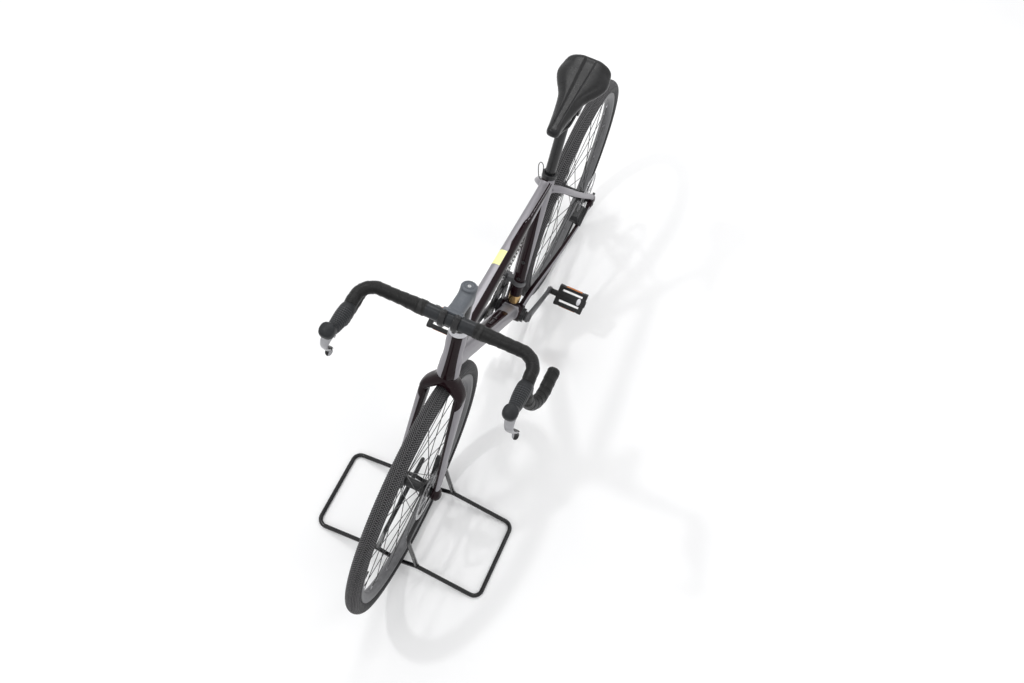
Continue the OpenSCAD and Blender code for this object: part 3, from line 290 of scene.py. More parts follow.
def piece(name, verts, faces, body, finish, sharp=False):
    """A mesh object that rides on a body."""
    mesh = bpy.data.meshes.new(name)
    mesh.from_pydata(np.asarray(verts).tolist(), [], faces)
    mesh.validate()
    work = bmesh.new()
    work.from_mesh(mesh)
    bmesh.ops.recalc_face_normals(work, faces=work.faces)
    work.to_mesh(mesh)
    work.free()
    mesh.shade_smooth()
    if sharp:
        mesh.set_sharp_from_angle(angle=SHARP_FROM)
    obj = bpy.data.objects.new(name, mesh)
    bpy.context.scene.collection.objects.link(obj)
    mesh.materials.append(finish)
    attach(obj, body)
    return obj


def part(name, shape, body, slot, *takes, finish=None, sharp=True):
    """A piece from (verts, faces) with its finish and slot; `takes` names the CAD nodes it stands in for."""
    obj = piece(name, *shape, body, FINISH[finish or slot], sharp)
    if takes:
        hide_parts(*takes)
    return obj


def baked(obj):
    """Applies an object's modifiers to its mesh."""
    deps = bpy.context.evaluated_depsgraph_get()
    mesh = bpy.data.meshes.new_from_object(obj.evaluated_get(deps))
    obj.modifiers.clear()
    obj.data = mesh


def remeshed(obj, voxel):
    """Gives a closed form an even mesh."""
    remesh = obj.modifiers.new("remesh", "REMESH")
    remesh.mode = "VOXEL"
    remesh.voxel_size = voxel
    baked(obj)


def tone(obj, values, name="tone"):
    """Keeps one number per vertex for a finish to read."""
    attribute = obj.data.attributes.new(name, "FLOAT", "POINT")
    attribute.data.foreach_set("value", np.asarray(values, np.float32))


def coords(obj):
    """A mesh's vertices as an array."""
    co = np.zeros(len(obj.data.vertices) * 3)
    obj.data.vertices.foreach_get("co", co)
    return co.reshape(-1, 3)


def set_coords(obj, co):
    """Moves a mesh's vertices."""
    obj.data.vertices.foreach_set("co", np.asarray(co, float).ravel())
    obj.data.update()


# ---- Welded forms: tubes that run into each other with a fillet ----


class Tube:
    """A tube along a path, for welded(): sizes are half widths along `first` and across it."""

    def __init__(self, path, sizes, first=UP, power=2.0):
        self.path = np.asarray(path, float)
        self.sizes = np.array(np.broadcast_to(np.asarray(sizes, float), (len(self.path), 2)))
        self.first = first
        self.power = power
        t = along_path(self.path)
        self.v = carried(t, first)
        self.ends = (t[0], t[-1])

    def distance(self, points):
        """Roughly how far each point lies outside the tube."""
        reach = self.sizes.max() + 0.03
        low, high = self.path.min(0) - reach, self.path.max(0) + reach
        near = np.all((points > low) & (points < high), 1)
        out = np.full(len(points), 1.0)
        p = points[near]
        best = np.full(len(p), 1.0)
        last = len(self.path) - 2
        for k in range(last + 1):
            a, b = self.path[k], self.path[k + 1]
            d = b - a
            length = np.linalg.norm(d)
            d = d / length
            w = (p - a) @ d
            t = np.clip(w / length, 0, 1)[:, None]
            q = p - (a + t * length * d)
            v = mix(self.v[k], self.v[k + 1], t)
            u = np.cross(d, v)
            size = mix(self.sizes[k], self.sizes[k + 1], t)
            qv = np.einsum("ij,ij->i", q, v) / size[:, 0]
            qu = np.einsum("ij,ij->i", q, u) / size[:, 1]
            beyond = w - t[:, 0] * length
            # The tube's two ends are flat; its inner joints are round
            flat = ((beyond < 0) & (k == 0)) | ((beyond > 0) & (k == last))
            q = q - np.where(flat, beyond, 0)[:, None] * d
            qw = np.where(flat, 0, beyond) / size.min(1)
            power = self.power
            scale = (np.abs(qv) ** power + np.abs(qu) ** power + np.abs(qw) ** power) ** (1 / power)
            far = np.linalg.norm(q, axis=1) * (1 - 1 / np.maximum(scale, 1e-4))
            best = np.minimum(best, np.where(flat, np.maximum(far, np.abs(beyond)), far))
        out[near] = best
        return out


def field(tubes, points, fillet):
    """Distance outside the tubes, rounded in where they meet."""
    d = tubes[0].distance(points)
    for tube in tubes[1:]:
        e = tube.distance(points)
        h = np.maximum(fillet - np.abs(d - e), 0) / fillet
        d = np.minimum(d, e) - h * h * fillet / 4
    return d


def welded(name, tubes, body, finish, voxel, fillet):
    """One smooth mesh of tubes that run into each other."""
    obj = piece(name, *merged([loft(t.path, t.sizes, t.first, 24, t.power) for t in tubes]), body, finish)
    remeshed(obj, voxel)
    co = coords(obj)
    # Each vertex moves down the slope of the distance to the tubes' true surface
    step = 1e-4
    for _ in range(3):
        d = field(tubes, co, fillet)
        slope = np.stack([field(tubes, co + step * np.eye(3)[k], fillet) - d for k in range(3)], 1) / step
        steep = np.maximum(np.einsum("ij,ij->i", slope, slope), 0.3)
        move = -(d / steep)[:, None] * slope
        size = np.linalg.norm(move, axis=1)[:, None]
        co = co + move * np.minimum(1, 1.2 * voxel / np.maximum(size, 1e-9))
    set_coords(obj, co)
    even = obj.modifiers.new("even", "SMOOTH")
    even.factor = 0.5
    even.iterations = 4
    baked(obj)
    obj.data.shade_smooth()
    if not obj.data.materials:
        obj.data.materials.append(finish)
    return obj

# ---- Camera, floor and light ----

VIEW_TURN = math.radians(14.441)
VIEW_RISE = math.radians(62.4152)
VIEW_ROLL = math.radians(10.7486)
VIEW_FAR = 2.6863
VIEW_AT = np.array([0.03, 0.0545, 0.35])
LENS = 33.77
LAMP_AIM = (0, 0, 0.4)
FLOOR_HALF = 30


def make_camera():
    """Above the front of the bicycle and a little to its left, slightly rolled."""
    back = np.array([math.cos(VIEW_TURN) * math.cos(VIEW_RISE), math.sin(VIEW_TURN) * math.cos(VIEW_RISE),
                     math.sin(VIEW_RISE)])
    right = unit(np.cross(-back, UP))
    up = np.cross(back, right)
    c, s = math.cos(VIEW_ROLL), math.sin(VIEW_ROLL)
    rolled_right = c * right + s * up
    rolled_up = c * up - s * right
    data = bpy.data.cameras.new("camera")
    data.sensor_width = 36
    data.lens = LENS
    data.clip_end = 50
    cam = bpy.data.objects.new("camera", data)
    cam.matrix_world = Matrix.LocRotScale(
        (VIEW_AT + VIEW_FAR * back).tolist(),
        Matrix(np.stack([rolled_right, rolled_up, back], 1).tolist()).to_quaternion(), None)
    bpy.context.scene.collection.objects.link(cam)
    bpy.context.scene.camera = cam
    bpy.context.scene.view_settings.view_transform = "Standard"


def softbox(name, at, size, power):
    """A square lamp that faces the bicycle."""
    data = bpy.data.lights.new(name, "AREA")
    data.shape = "SQUARE"
    data.size = size
    data.energy = power
    lamp = bpy.data.objects.new(name, data)
    at = np.array(at, float)
    back = unit(at - np.array(LAMP_AIM))
    right = unit(np.cross(UP + 0.001, back))
    lamp.matrix_world = Matrix.LocRotScale(
        at.tolist(), Matrix(np.stack([right, np.cross(back, right), back], 1).tolist()).to_quaternion(), None)
    bpy.context.scene.collection.objects.link(lamp)


def make_world():
    """A white room that is brighter overhead than at eye level; it looks plain white."""
    world = bpy.data.worlds.new("room")
    bpy.context.scene.world = world
    world.use_nodes = True
    tree = world.node_tree
    tree.nodes.clear()
    height = node(tree, "SeparateXYZ", {0: node(tree, "TexCoord").outputs["Generated"]}).outputs["Z"]
    tint = ramp(tree, height, [(0.0, 0.42), (0.35, 0.62), (0.8, 1.0)])
    light = node(tree, "Background", {"Color": tint, "Strength": 1.05}).outputs[0]
    seen = node(tree, "Background", {"Color": (1, 1, 1, 1), "Strength": 1.0}).outputs[0]
    path = node(tree, "LightPath").outputs
    mirrored = maths(tree, "MAXIMUM", path["Is Glossy Ray"], path["Is Transmission Ray"])
    shown = maths(tree, "MAXIMUM", path["Is Camera Ray"], mirrored)
    pick = node(tree, "MixShader", {"Fac": shown, 1: light, 2: seen}).outputs[0]
    node(tree, "OutputWorld", {"Surface": pick})


def make_floor():
    """A pale floor that keeps the shadow."""
    verts = [(x * FLOOR_HALF, y * FLOOR_HALF, 0) for x, y in ((-1, -1), (1, -1), (1, 1), (-1, 1))]
    mesh = bpy.data.meshes.new("floor")
    mesh.from_pydata(verts, [], [(0, 1, 2, 3)])
    floor = bpy.data.objects.new("floor", mesh)
    bpy.context.scene.collection.objects.link(floor)
    mat, tree, shader = new_material("floor_pale")
    ramp(tree, noise(tree, place(tree), 3.0, Detail=2.0), [(0.3, (0.92, 0.923, 0.93)), (0.7, (0.945, 0.946, 0.95))],
         shader.inputs["Base Color"])
    shader.inputs["Roughness"].default_value = 0.12
    mesh.materials.append(mat)


# ---- Shader helpers and shared effects ----


def node(tree, kind, inputs=None, **settings):
    """A shader node with its inputs set to values or linked to sockets."""
    n = tree.nodes.new("ShaderNode" + kind)
    for key, value in settings.items():
        setattr(n, key, value)
    for key, value in (inputs or {}).items():
        feed(tree, n.inputs[key], value)
    return n


def feed(tree, socket, value):
    """Sets an input to a value or links it to another node's socket."""
    if isinstance(value, bpy.types.NodeSocket):
        tree.links.new(value, socket)
    else:
        socket.default_value = value


def place(tree):
    """Object coordinates, which move with the piece."""
    return node(tree, "TexCoord").outputs["Object"]


def noise(tree, at, scale, **more):
    """A noise between 0 and 1."""
    return node(tree, "TexNoise", {"Vector": at, "Scale": scale, **more}).outputs["Fac"]


def stored(tree, name):
    """A number kept per vertex by tone()."""
    return node(tree, "Attribute", attribute_name=name).outputs["Fac"]


def remap(tree, value, low, high, to_low=0.0, to_high=1.0):
    """A value scaled from one range to another and held within it."""
    return node(tree, "MapRange", {"Value": value, "From Min": low, "From Max": high, "To Min": to_low,
                                   "To Max": to_high}).outputs[0]


def maths(tree, operation, *values, **settings):
    """One sum on a few values."""
    return node(tree, "Math", dict(enumerate(values)), operation=operation, **settings).outputs[0]


def mix_colour(tree, factor, a, b):
    """A colour between a and b."""
    n = node(tree, "Mix", data_type="RGBA")
    for key, value in ((0, factor), (6, a), (7, b)):
        feed(tree, n.inputs[key], value)
    return n.outputs[2]


def ramp(tree, factor, stops, target=None):
    """Colours along a factor; a stop is (position, colour or grey)."""
    n = node(tree, "ValToRGB", {"Fac": factor})
    ends = n.color_ramp.elements
    while len(ends) < len(stops):
        ends.new(0.5)
    for end, (at, colour) in zip(ends, stops):
        end.position = at
        grey = isinstance(colour, (int, float))
        end.color = (colour, colour, colour, 1) if grey else (*colour, 1)
    if target is not None:
        tree.links.new(n.outputs["Color"], target)
    return n.outputs["Color"]


def new_material(name, **sockets):
    """A material with a Principled shader whose plain values are set on its own sockets."""
    mat = bpy.data.materials.new(name)
    mat.use_nodes = True
    shader = mat.node_tree.nodes["Principled BSDF"]
    for key, value in sockets.items():
        shader.inputs[key.replace("_", " ")].default_value = value
    return mat, mat.node_tree, shader


def new_group(name, inputs, outputs):
    """An empty node group and its given sockets; inputs are {name: default}, with None for a vector."""
    tree = bpy.data.node_groups.new(name, "ShaderNodeTree")
    for key, value in inputs.items():
        kind = "Vector" if value is None else "Color" if isinstance(value, tuple) else "Float"
        socket = tree.interface.new_socket(name=key, in_out="INPUT", socket_type="NodeSocket" + kind)
        if value is not None:
            socket.default_value = value
    for key, kind in outputs.items():
        tree.interface.new_socket(name=key, in_out="OUTPUT", socket_type="NodeSocket" + kind)
    return tree, tree.nodes.new("NodeGroupInput").outputs, tree.nodes.new("NodeGroupOutput").inputs


def effect(tree, group, **inputs):
    """Places a shared effect in a material; an underscore in a name stands for a space."""
    return node(tree, "Group", {k.replace("_", " "): v for k, v in inputs.items()}, node_tree=group).outputs


def mottle_group():
    """Two nearby colours mixed in soft patches, with a matching change of roughness."""
    tree, given, out = new_group(
        "mottle", {"Vector": None, "Scale": 60.0, "Colour A": (0, 0, 0, 1), "Colour B": (0, 0, 0, 1),
                   "Rough A": 0.4, "Rough B": 0.5}, {"Colour": "Color", "Roughness": "Float"})
    patches = noise(tree, given["Vector"], given["Scale"], Detail=5.0, Roughness=0.6)
    spread = remap(tree, patches, 0.3, 0.7)
    tree.links.new(mix_colour(tree, spread, given["Colour A"], given["Colour B"]), out["Colour"])
    tree.links.new(remap(tree, spread, 0.0, 1.0, given["Rough A"], given["Rough B"]), out["Roughness"])
    return tree


def grain_group():
    """Height of a fine moulded or cast grain."""
    tree, given, out = new_group("grain", {"Vector": None, "Scale": 900.0, "Coarse": 0.3}, {"Height": "Float"})
    fine = noise(tree, given["Vector"], given["Scale"], Detail=3.0)
    wide = noise(tree, given["Vector"], maths(tree, "MULTIPLY", given["Scale"], 0.2))
    blend = remap(tree, given["Coarse"], 0.0, 1.0)
    tree.links.new(maths(tree, "MULTIPLY_ADD", wide, blend, fine), out["Height"])
    return tree


def wear_group():
    """A mask of fine scratches and rubbed spots, strongest where the surface turns sharply."""
    tree, given, out = new_group("wear", {"Vector": None, "Scale": 120.0, "Amount": 0.3}, {"Mask": "Float"})
    edge = remap(tree, node(tree, "NewGeometry").outputs["Pointiness"], 0.52, 0.62)
    streak = node(tree, "VectorMath", {0: given["Vector"], 1: (1.0, 0.25, 1.7)}, operation="MULTIPLY").outputs[0]
    scratch = noise(tree, streak, given["Scale"], Detail=8.0, Roughness=0.75)
    most = maths(tree, "MAXIMUM", maths(tree, "MULTIPLY", edge, scratch), remap(tree, scratch, 0.60, 0.72))
    tree.links.new(maths(tree, "MULTIPLY", most, given["Amount"], use_clamp=True), out["Mask"])
    return tree


MOTTLE = mottle_group()
GRAIN = grain_group()
WEAR = wear_group()


def bump(tree, shader, height, strength, depth=0.0005):
    """Feeds a height to the shader's normal."""
    n = node(tree, "Bump", {"Height": height, "Strength": strength, "Distance": depth})
    tree.links.new(n.outputs["Normal"], shader.inputs["Normal"])


def plain_finish(name, dark, light, rough, patch, grain=None, worn=None, **sockets):
    """Two close colours in patches, a moulded grain, and rubbed spots: the base of most finishes."""
    mat, tree, shader = new_material(name, **sockets)
    at = place(tree)
    mottle = effect(tree, MOTTLE, Vector=at, Scale=patch, Colour_A=(*dark, 1), Colour_B=(*light, 1),
                    Rough_A=rough[0], Rough_B=rough[1])
    colour = mottle["Colour"]
    if worn:
        bare, amount, scale = worn
        mask = effect(tree, WEAR, Vector=at, Scale=scale, Amount=amount)["Mask"]
        colour = mix_colour(tree, mask, colour, (*bare, 1))
    tree.links.new(colour, shader.inputs["Base Color"])
    tree.links.new(mottle["Roughness"], shader.inputs["Roughness"])
    if grain:
        scale, strength, depth = grain
        bump(tree, shader, effect(tree, GRAIN, Vector=at, Scale=scale)["Height"], strength, depth)
    return mat


def over_grain(tree, scale, share, height):
    """A height with a fine grain laid over it."""
    return maths(tree, "MULTIPLY_ADD", effect(tree, GRAIN, Vector=place(tree), Scale=scale)["Height"], share, height)


def waves(tree, name, turn):
    """A sine wave along a stored number, with its turn in radians for each whole step."""
    return maths(tree, "SINE", maths(tree, "MULTIPLY", stored(tree, name), turn))


def recoloured(tree, shader, factor, colour):
    """Mixes a colour over the base colour of a finish."""
    plain = shader.inputs["Base Color"].links[0].from_socket
    tree.links.new(mix_colour(tree, factor, plain, colour), shader.inputs["Base Color"])


# ---- Finishes ----

MAUVE_A, MAUVE_B = (0.262, 0.252, 0.272), (0.300, 0.290, 0.310)
PLUM_A, PLUM_B = (0.0085, 0.0028, 0.0045), (0.0135, 0.0045, 0.0065)


def paint_finish():
    """Satin mauve where the piece's tone number is above zero and gloss plum below it; on the frame some mauve strips
    are painted highlights.
    """
    mat, tree, shader = new_material("two_tone_paint", Coat_Roughness=0.04, Specular_IOR_Level=0.02)
    at = place(tree)
    side = stored(tree, "tone")
    split = remap(tree, side, -0.0002, 0.0002)
    light = effect(tree, MOTTLE, Vector=at, Scale=2600.0, Colour_A=(*MAUVE_A, 1), Colour_B=(*MAUVE_B, 1),
                   Rough_A=0.36, Rough_B=0.44)
    dark = effect(tree, MOTTLE, Vector=at, Scale=1800.0, Colour_A=(*PLUM_A, 1), Colour_B=(*PLUM_B, 1),
                  Rough_A=0.2, Rough_B=0.28)
    dust = effect(tree, WEAR, Vector=at, Scale=45.0, Amount=0.05)["Mask"]
    base = mix_colour(tree, split, dark["Colour"], light["Colour"])
    rough = node(tree, "Mix", {0: split, 2: dark["Roughness"], 3: light["Roughness"]}).outputs[0]
    for name, source in (("Base Color", mix_colour(tree, dust, base, (0.33, 0.31, 0.30, 1))), ("Roughness", rough),
                         ("Metallic", remap(tree, split, 0.0, 1.0, 0.0, 0.55)),
                         ("Coat Weight", remap(tree, split, 0.0, 1.0, 0.32, 0.15))):
        tree.links.new(source, shader.inputs[name])
    edge = remap(tree, side, -0.0006, 0.0)
    flow = effect(tree, GRAIN, Vector=at, Scale=110.0)["Height"]
    bump(tree, shader, maths(tree, "MULTIPLY_ADD", flow, 0.25, edge), 0.25, 0.0002)
    return mat


def tape_finish():
    """Bar tape with fine raised ribs along each turn."""
    mat = plain_finish("bar_tape", (0.005,) * 3, (0.010,) * 3, (0.30, 0.44), 260, Specular_IOR_Level=0.26)
    tree = mat.node_tree
    ribs = waves(tree, "across", 2 * math.pi * 7)
    bump(tree, tree.nodes["Principled BSDF"], over_grain(tree, 1500.0, 0.4, ribs), 0.6, 0.0004)
    return mat


def hood_finish():
    """Moulded rubber with fine ribs where the palm rests; the ribs' crests are painted lighter as a painted highlight.
    """
    mat = plain_finish("hood_rubber", (0.013, 0.014, 0.016), (0.020, 0.0215, 0.024), (0.38, 0.50), 90,
                       Specular_IOR_Level=0.25)
    tree = mat.node_tree
    shader = tree.nodes["Principled BSDF"]
    ribs = maths(tree, "MULTIPLY", waves(tree, "along", 2 * math.pi / 0.0058), stored(tree, "ribbed"))
    # The ribs' crests are painted lighter grey: a painted highlight.
    recoloured(tree, shader, remap(tree, ribs, 0.0, 0.8, 0.0, 0.55), (0.070, 0.073, 0.080, 1))
    bump(tree, shader, over_grain(tree, 1800.0, 0.3, ribs), 1.0, 0.0008)
    return mat


def tyre_finish():
    """Black rubber; the tread's tops are painted greyer than the grooves between them, a painted highlight on the
    knobs.
    """
    mat = plain_finish("tyre_rubber", (0.007, 0.007, 0.008), (0.013, 0.013, 0.014), (0.50, 0.66), 130,
                       (1300, 0.45, 0.0003), ((0.075, 0.072, 0.066), 0.22, 160), Specular_IOR_Level=0.22)
    tree = mat.node_tree
    # The knob tops are painted lighter grey: painted highlight on the tops over the shaded grooves.
    share = remap(tree, noise(tree, place(tree), 90.0, Detail=4.0), 0.0, 1.0, 0.55, 0.95)
    lit_tops = maths(tree, "MULTIPLY", stored(tree, "raised"), share)
    recoloured(tree, tree.nodes["Principled BSDF"], lit_tops, (0.175, 0.172, 0.178, 1))
    return mat


def reflector_finish():
    """Amber plastic over a grid of small prisms."""
    mat, tree, shader = new_material("reflector_amber", Roughness=0.2, Coat_Weight=0.2, Specular_IOR_Level=0.15)
    cells = node(tree, "TexVoronoi", {"Vector": place(tree), "Scale": 420.0, "Randomness": 0.0},
                 distance="CHEBYCHEV").outputs["Distance"]
    ramp(tree, cells, [(0.0, (0.80, 0.29, 0.02)), (0.45, (0.62, 0.17, 0.01)), (0.6, (0.36, 0.08, 0.004))],
         shader.inputs["Base Color"])
    bump(tree, shader, cells, 0.5, 0.0006)
    return mat


def brushed_finish(name, dark, light, rough, scale=700.0, metallic=0.92):
    """Metal with a fine and a broad variation of colour and gloss."""
    mat, tree, shader = new_material(name, Metallic=metallic)
    at = place(tree)
    streaks = noise(tree, at, scale, Detail=4.0)
    half = maths(tree, "MULTIPLY", maths(tree, "ADD", streaks, noise(tree, at, 35.0, Detail=3.0)), 0.5)
    ramp(tree, half, [(0.38, dark), (0.62, light)], shader.inputs["Base Color"])
    tree.links.new(remap(tree, half, 0.38, 0.62, *rough), shader.inputs["Roughness"])
    bump(tree, shader, streaks, 0.12, 0.0002)
    return mat


# name: dark and light colour, roughness, patch scale, (grain scale, strength, depth), (rubbed colour, amount, scale)
PLAIN = {
    "stand_paint": ((0.003, 0.003, 0.004), (0.007, 0.007, 0.008), (0.18, 0.28), 70, (700, 0.15, 0.0002),
                    ((0.10, 0.10, 0.10), 0.20, 70)),
    "black_alloy": ((0.008, 0.008, 0.009), (0.015, 0.015, 0.016), (0.26, 0.38), 140, (1900, 0.2, 0.0001),
                    ((0.22, 0.22, 0.23), 0.12, 130)),
    "bare_bar": ((0.016, 0.0175, 0.020), (0.024, 0.026, 0.029), (0.28, 0.38), 160, (2200, 0.2, 0.0001)),
    "grey_alloy": ((0.088, 0.098, 0.112), (0.112, 0.122, 0.138), (0.36, 0.46), 160, (2200, 0.2, 0.0001),
                   ((0.3, 0.3, 0.32), 0.08, 120)),
    "crank_alloy": ((0.085, 0.085, 0.089), (0.112, 0.112, 0.117), (0.30, 0.40), 110, (2200, 0.2, 0.0001),
                    ((0.22, 0.22, 0.23), 0.10, 90)),
    "pale_alloy": ((0.66, 0.66, 0.69), (0.74, 0.74, 0.77), (0.42, 0.55), 130, (1800, 0.2, 0.0001)),
    "cable_sheath": ((0.006,) * 3, (0.012,) * 3, (0.32, 0.42), 300, (2500, 0.2, 0.0001)),
    "saddle_cover": ((0.0055, 0.0055, 0.006), (0.010, 0.010, 0.011), (0.26, 0.38), 120, (1600, 0.4, 0.0003)),
    "black_plastic": ((0.011,) * 3, (0.018,) * 3, (0.42, 0.56), 150, (1500, 0.45, 0.0003),
                      ((0.07, 0.07, 0.07), 0.2, 120)),
    "chain_steel": ((0.020, 0.019, 0.018), (0.055, 0.053, 0.050), (0.28, 0.42), 500, None,
                    ((0.24, 0.235, 0.22), 0.35, 600)),
    "rim_alloy": ((0.130, 0.130, 0.135), (0.170, 0.170, 0.176), (0.32, 0.42), 90, (600, 0.1, 0.0001),
                  ((0.2, 0.2, 0.21), 0.06, 90)),
    "sticker": ((0.87, 0.86, 0.36), (0.91, 0.90, 0.43), (0.34, 0.42), 60, (500, 0.15, 0.0001)),
}
SPECULAR = {"stand_paint": 0.42, "black_alloy": 0.4, "bare_bar": 0.25, "grey_alloy": 0.35, "crank_alloy": 0.4,
            "cable_sheath": 0.3, "saddle_cover": 0.3, "black_plastic": 0.3, "rim_alloy": 0.06, "sticker": 0.3}
METALLIC = {"crank_alloy": 0.35, "pale_alloy": 0.3, "chain_steel": 0.5}
# name: dark and light colour, roughness, streak scale and metallic
BRUSHED = {
    "silver_alloy": ((0.55, 0.55, 0.56), (0.74, 0.74, 0.75), (0.24, 0.36)),
    "lever_alloy": ((0.27, 0.27, 0.285), (0.40, 0.40, 0.415), (0.28, 0.4), 900, 0.85),
    "rotor_steel": ((0.30, 0.30, 0.31), (0.46, 0.46, 0.47), (0.22, 0.34)),
    "brass": ((0.42, 0.27, 0.11), (0.56, 0.38, 0.18), (0.16, 0.26)),
}


def make_finishes():
    """Every finish by its slot's name."""
    made = {"frame_paint": paint_finish(), "bar_tape": tape_finish(), "hood_rubber": hood_finish(),
            "tyre": tyre_finish(), "reflector": reflector_finish()}
    for name, row in PLAIN.items():
        sockets = {"Specular_IOR_Level": SPECULAR.get(name, 0.5), "Metallic": METALLIC.get(name, 0.0)}
        made[name] = plain_finish(name, *row, **sockets)
    for name, row in BRUSHED.items():
        made[name] = brushed_finish(name, *row)
    return made


FINISH = make_finishes()

KEPT = {
    "black_alloy": ["front_axle", "spacers", "bottom_bracket", "rear_axle", "bottle_bosses", "front_hub", "rear_hub",
                    "front_spokes", "rear_spokes", "chainrings", "front_caliper", "rear_caliper",
                    "rear_derailleur"],
    "bare_bar": ["handlebar"],
    "pale_alloy": ["headset_cover"],
    "crank_alloy": ["front_derailleur"],
    "silver_alloy": ["cassette"],
    "chain_steel": ["chain"],
    "rim_alloy": ["front_rim", "rear_rim"],
    "rotor_steel": ["front_rotor", "rear_rotor"],
    "black_plastic": ["derailleur_pulleys"],
}


def dress_kept_nodes():
    """Gives each CAD node that stays its finish."""
    for finish, names in KEPT.items():
        for name in names:
            mesh = frame["nodes"][name].data
            mesh.materials.clear()
            mesh.materials.append(FINISH[finish])


# ---- Frame ----

TOP_AT_HEAD = on_steerer(99 * MM)
TOP_AT_SEAT = on_seat(476 * MM)
TOP_UP = unit(np.cross(TOP_AT_SEAT - TOP_AT_HEAD, ACROSS))
TOP_UP = TOP_UP * np.sign(TOP_UP[2])
TOP_SIZE_HEAD, TOP_SIZE_SEAT, TOP_POWER = (0.021, 0.019), (0.018, 0.015), 3.2
DOWN_AT_HEAD = on_steerer(40 * MM)
REAR_END_Y = 0.075
# Voxel size and fillet of the painted shells
SHELL_MESH = (0.0024, 0.010)


def straight(a, b, size_a, size_b, n=8, taper=(0, 0.75)):
    """Path and sizes of a tapering tube between two points."""
    t = np.linspace(0, 1, n + 1)[:, None]
    return mix(a, b, t), mix(np.array(size_a), np.array(size_b), smooth(*taper, t))


def stay_path(a, b, c, d, near, far):
    """Path and sizes of a stay, from a to d with bends towards b and c."""
    n = 14
    path = bezier(a, b, c, d, n)
    return path, mix(np.array(near), np.array(far), np.linspace(0, 1, n + 1)[:, None])


def frame_tubes():
    """The frame's tubes by name."""
    z = np.array([0, 5, 12, 30, 42, 60, 82, 105, 125, 137]) * MM
    r = np.array([26.6, 27, 26.8, 24.6, 23.6, 22.7, 22.1, 22.1, 22.5, 22.5]) * MM
    head = Tube([on_steerer(k) for k in z], np.stack([r, r], 1), SEAT_FWD)
    top = Tube(*straight(TOP_AT_HEAD, TOP_AT_SEAT, TOP_SIZE_HEAD, TOP_SIZE_SEAT, 16, (0.2, 1.0)), power=TOP_POWER)
    down = Tube(*straight(DOWN_AT_HEAD, CRANK, (0.023, 0.0215), (0.022, 0.0245)), power=2.6)
    seat = Tube([on_seat(k) for k in (0, 0.25, SEAT_TUBE_LEN)], (SEAT_TUBE_R, SEAT_TUBE_R), SEAT_FWD)
    shell = Tube([CRANK + y * ACROSS for y in (-0.0335, 0, 0.0335)], (0.0245, 0.0245))
    tubes = {"head": head, "top": top, "down": down, "seat": seat, "shell": shell}
    for side, word in SIDES:
        a = CRANK + np.array([-0.021, side * 0.022, 0])
        b = REAR_HUB + np.array([0.024, side * REAR_END_Y, -0.004])
        path, sizes = stay_path(a, a + np.array([-0.080, side * 0.003, 0.002]),
                                b + np.array([0.150, -side * 0.004, -0.014]), b, (0.012, 0.0095), (0.009, 0.0055))
        tubes["chainstay_" + word] = Tube(path, sizes, power=2.5)
        a = on_seat(0.452, -0.0165, side * 0.012)
        b = REAR_HUB + np.array([0.006, side * REAR_END_Y, 0.026])
        path, sizes = stay_path(a, a + np.array([-0.026, side * 0.028, -0.010]),
                                a + np.array([-0.060, side * 0.042, -0.075]), b, (0.0105, 0.0085), (0.008, 0.0055))
        tubes["seatstay_" + word] = Tube(path, sizes, np.array([1.0, 0, 0]), power=2.4)
        y = [side * (REAR_END_Y + thick) for thick in (-0.0035, 0, 0.0035)]
        for k, (x, up, r) in enumerate(((0, 0, 0.016), (0.014, -0.003, 0.0125), (0.005, 0.016, 0.012))):
            tubes["end_%s_%d" % (word, k)] = Tube([REAR_HUB + np.array([x, q, up]) for q in y], (r, r))
    tubes["hanger"] = Tube([REAR_HUB + np.array([-0.003, q, -0.024]) for q in y[::-1]], (0.0085, 0.0085))
    return tubes


def along(points, a, b):
    """How far points lie from a to b, as a share of the way, and the point of the line beside each."""
    way = b - a
    t = ((points - a) @ way) / (way @ way)
    return t, a + t[:, None] * way


def top_tube_tone(co):
    """Mauve on the right and over most of the top; the plum edge steps in and out. Behind it, a mauve strip along the
    crease and mauve on the left flank toward the seat are painted highlights.
    """
    t, axis = along(co, TOP_AT_HEAD, TOP_AT_SEAT)
    high = (co - axis) @ TOP_UP
    y = co[:, 1]
    edge = np.interp(t, [0, 0.10, 0.14, 0.53, 0.57, 0.70, 0.74, 1.0],
                     [0.016, 0.010, 0.0035, 0.0035, -0.0005, 0.0010, 0.0055, 0.0085])
    value = edge - y
    # A mauve strip along the crease is a painted highlight, and so is the mauve on the left flank near the seat.
    crease_highlight = np.minimum(0.0007 - np.abs(y - edge - 0.0042), (t - 0.62) * 0.1)
    flank_highlight = np.minimum(y - 0.0150, (t - 0.74) * 0.1)
    value = np.maximum(value, np.maximum(crease_highlight, flank_highlight))
    return np.where(y < 0, np.minimum(value, high + 0.004), value)


def down_tube_tone(co):
    """Mauve with a dark panel on the upper face."""
    t, axis = along(co, DOWN_AT_HEAD, CRANK)
    high = (co - axis)[:, 2]
    panel = np.minimum(np.minimum(0.0145 - np.abs(co[:, 1]), (t - 0.34) * 0.3), (0.80 - t) * 0.3)
    return np.minimum(np.where(high > 0, -panel, 0.02), high + 0.010)


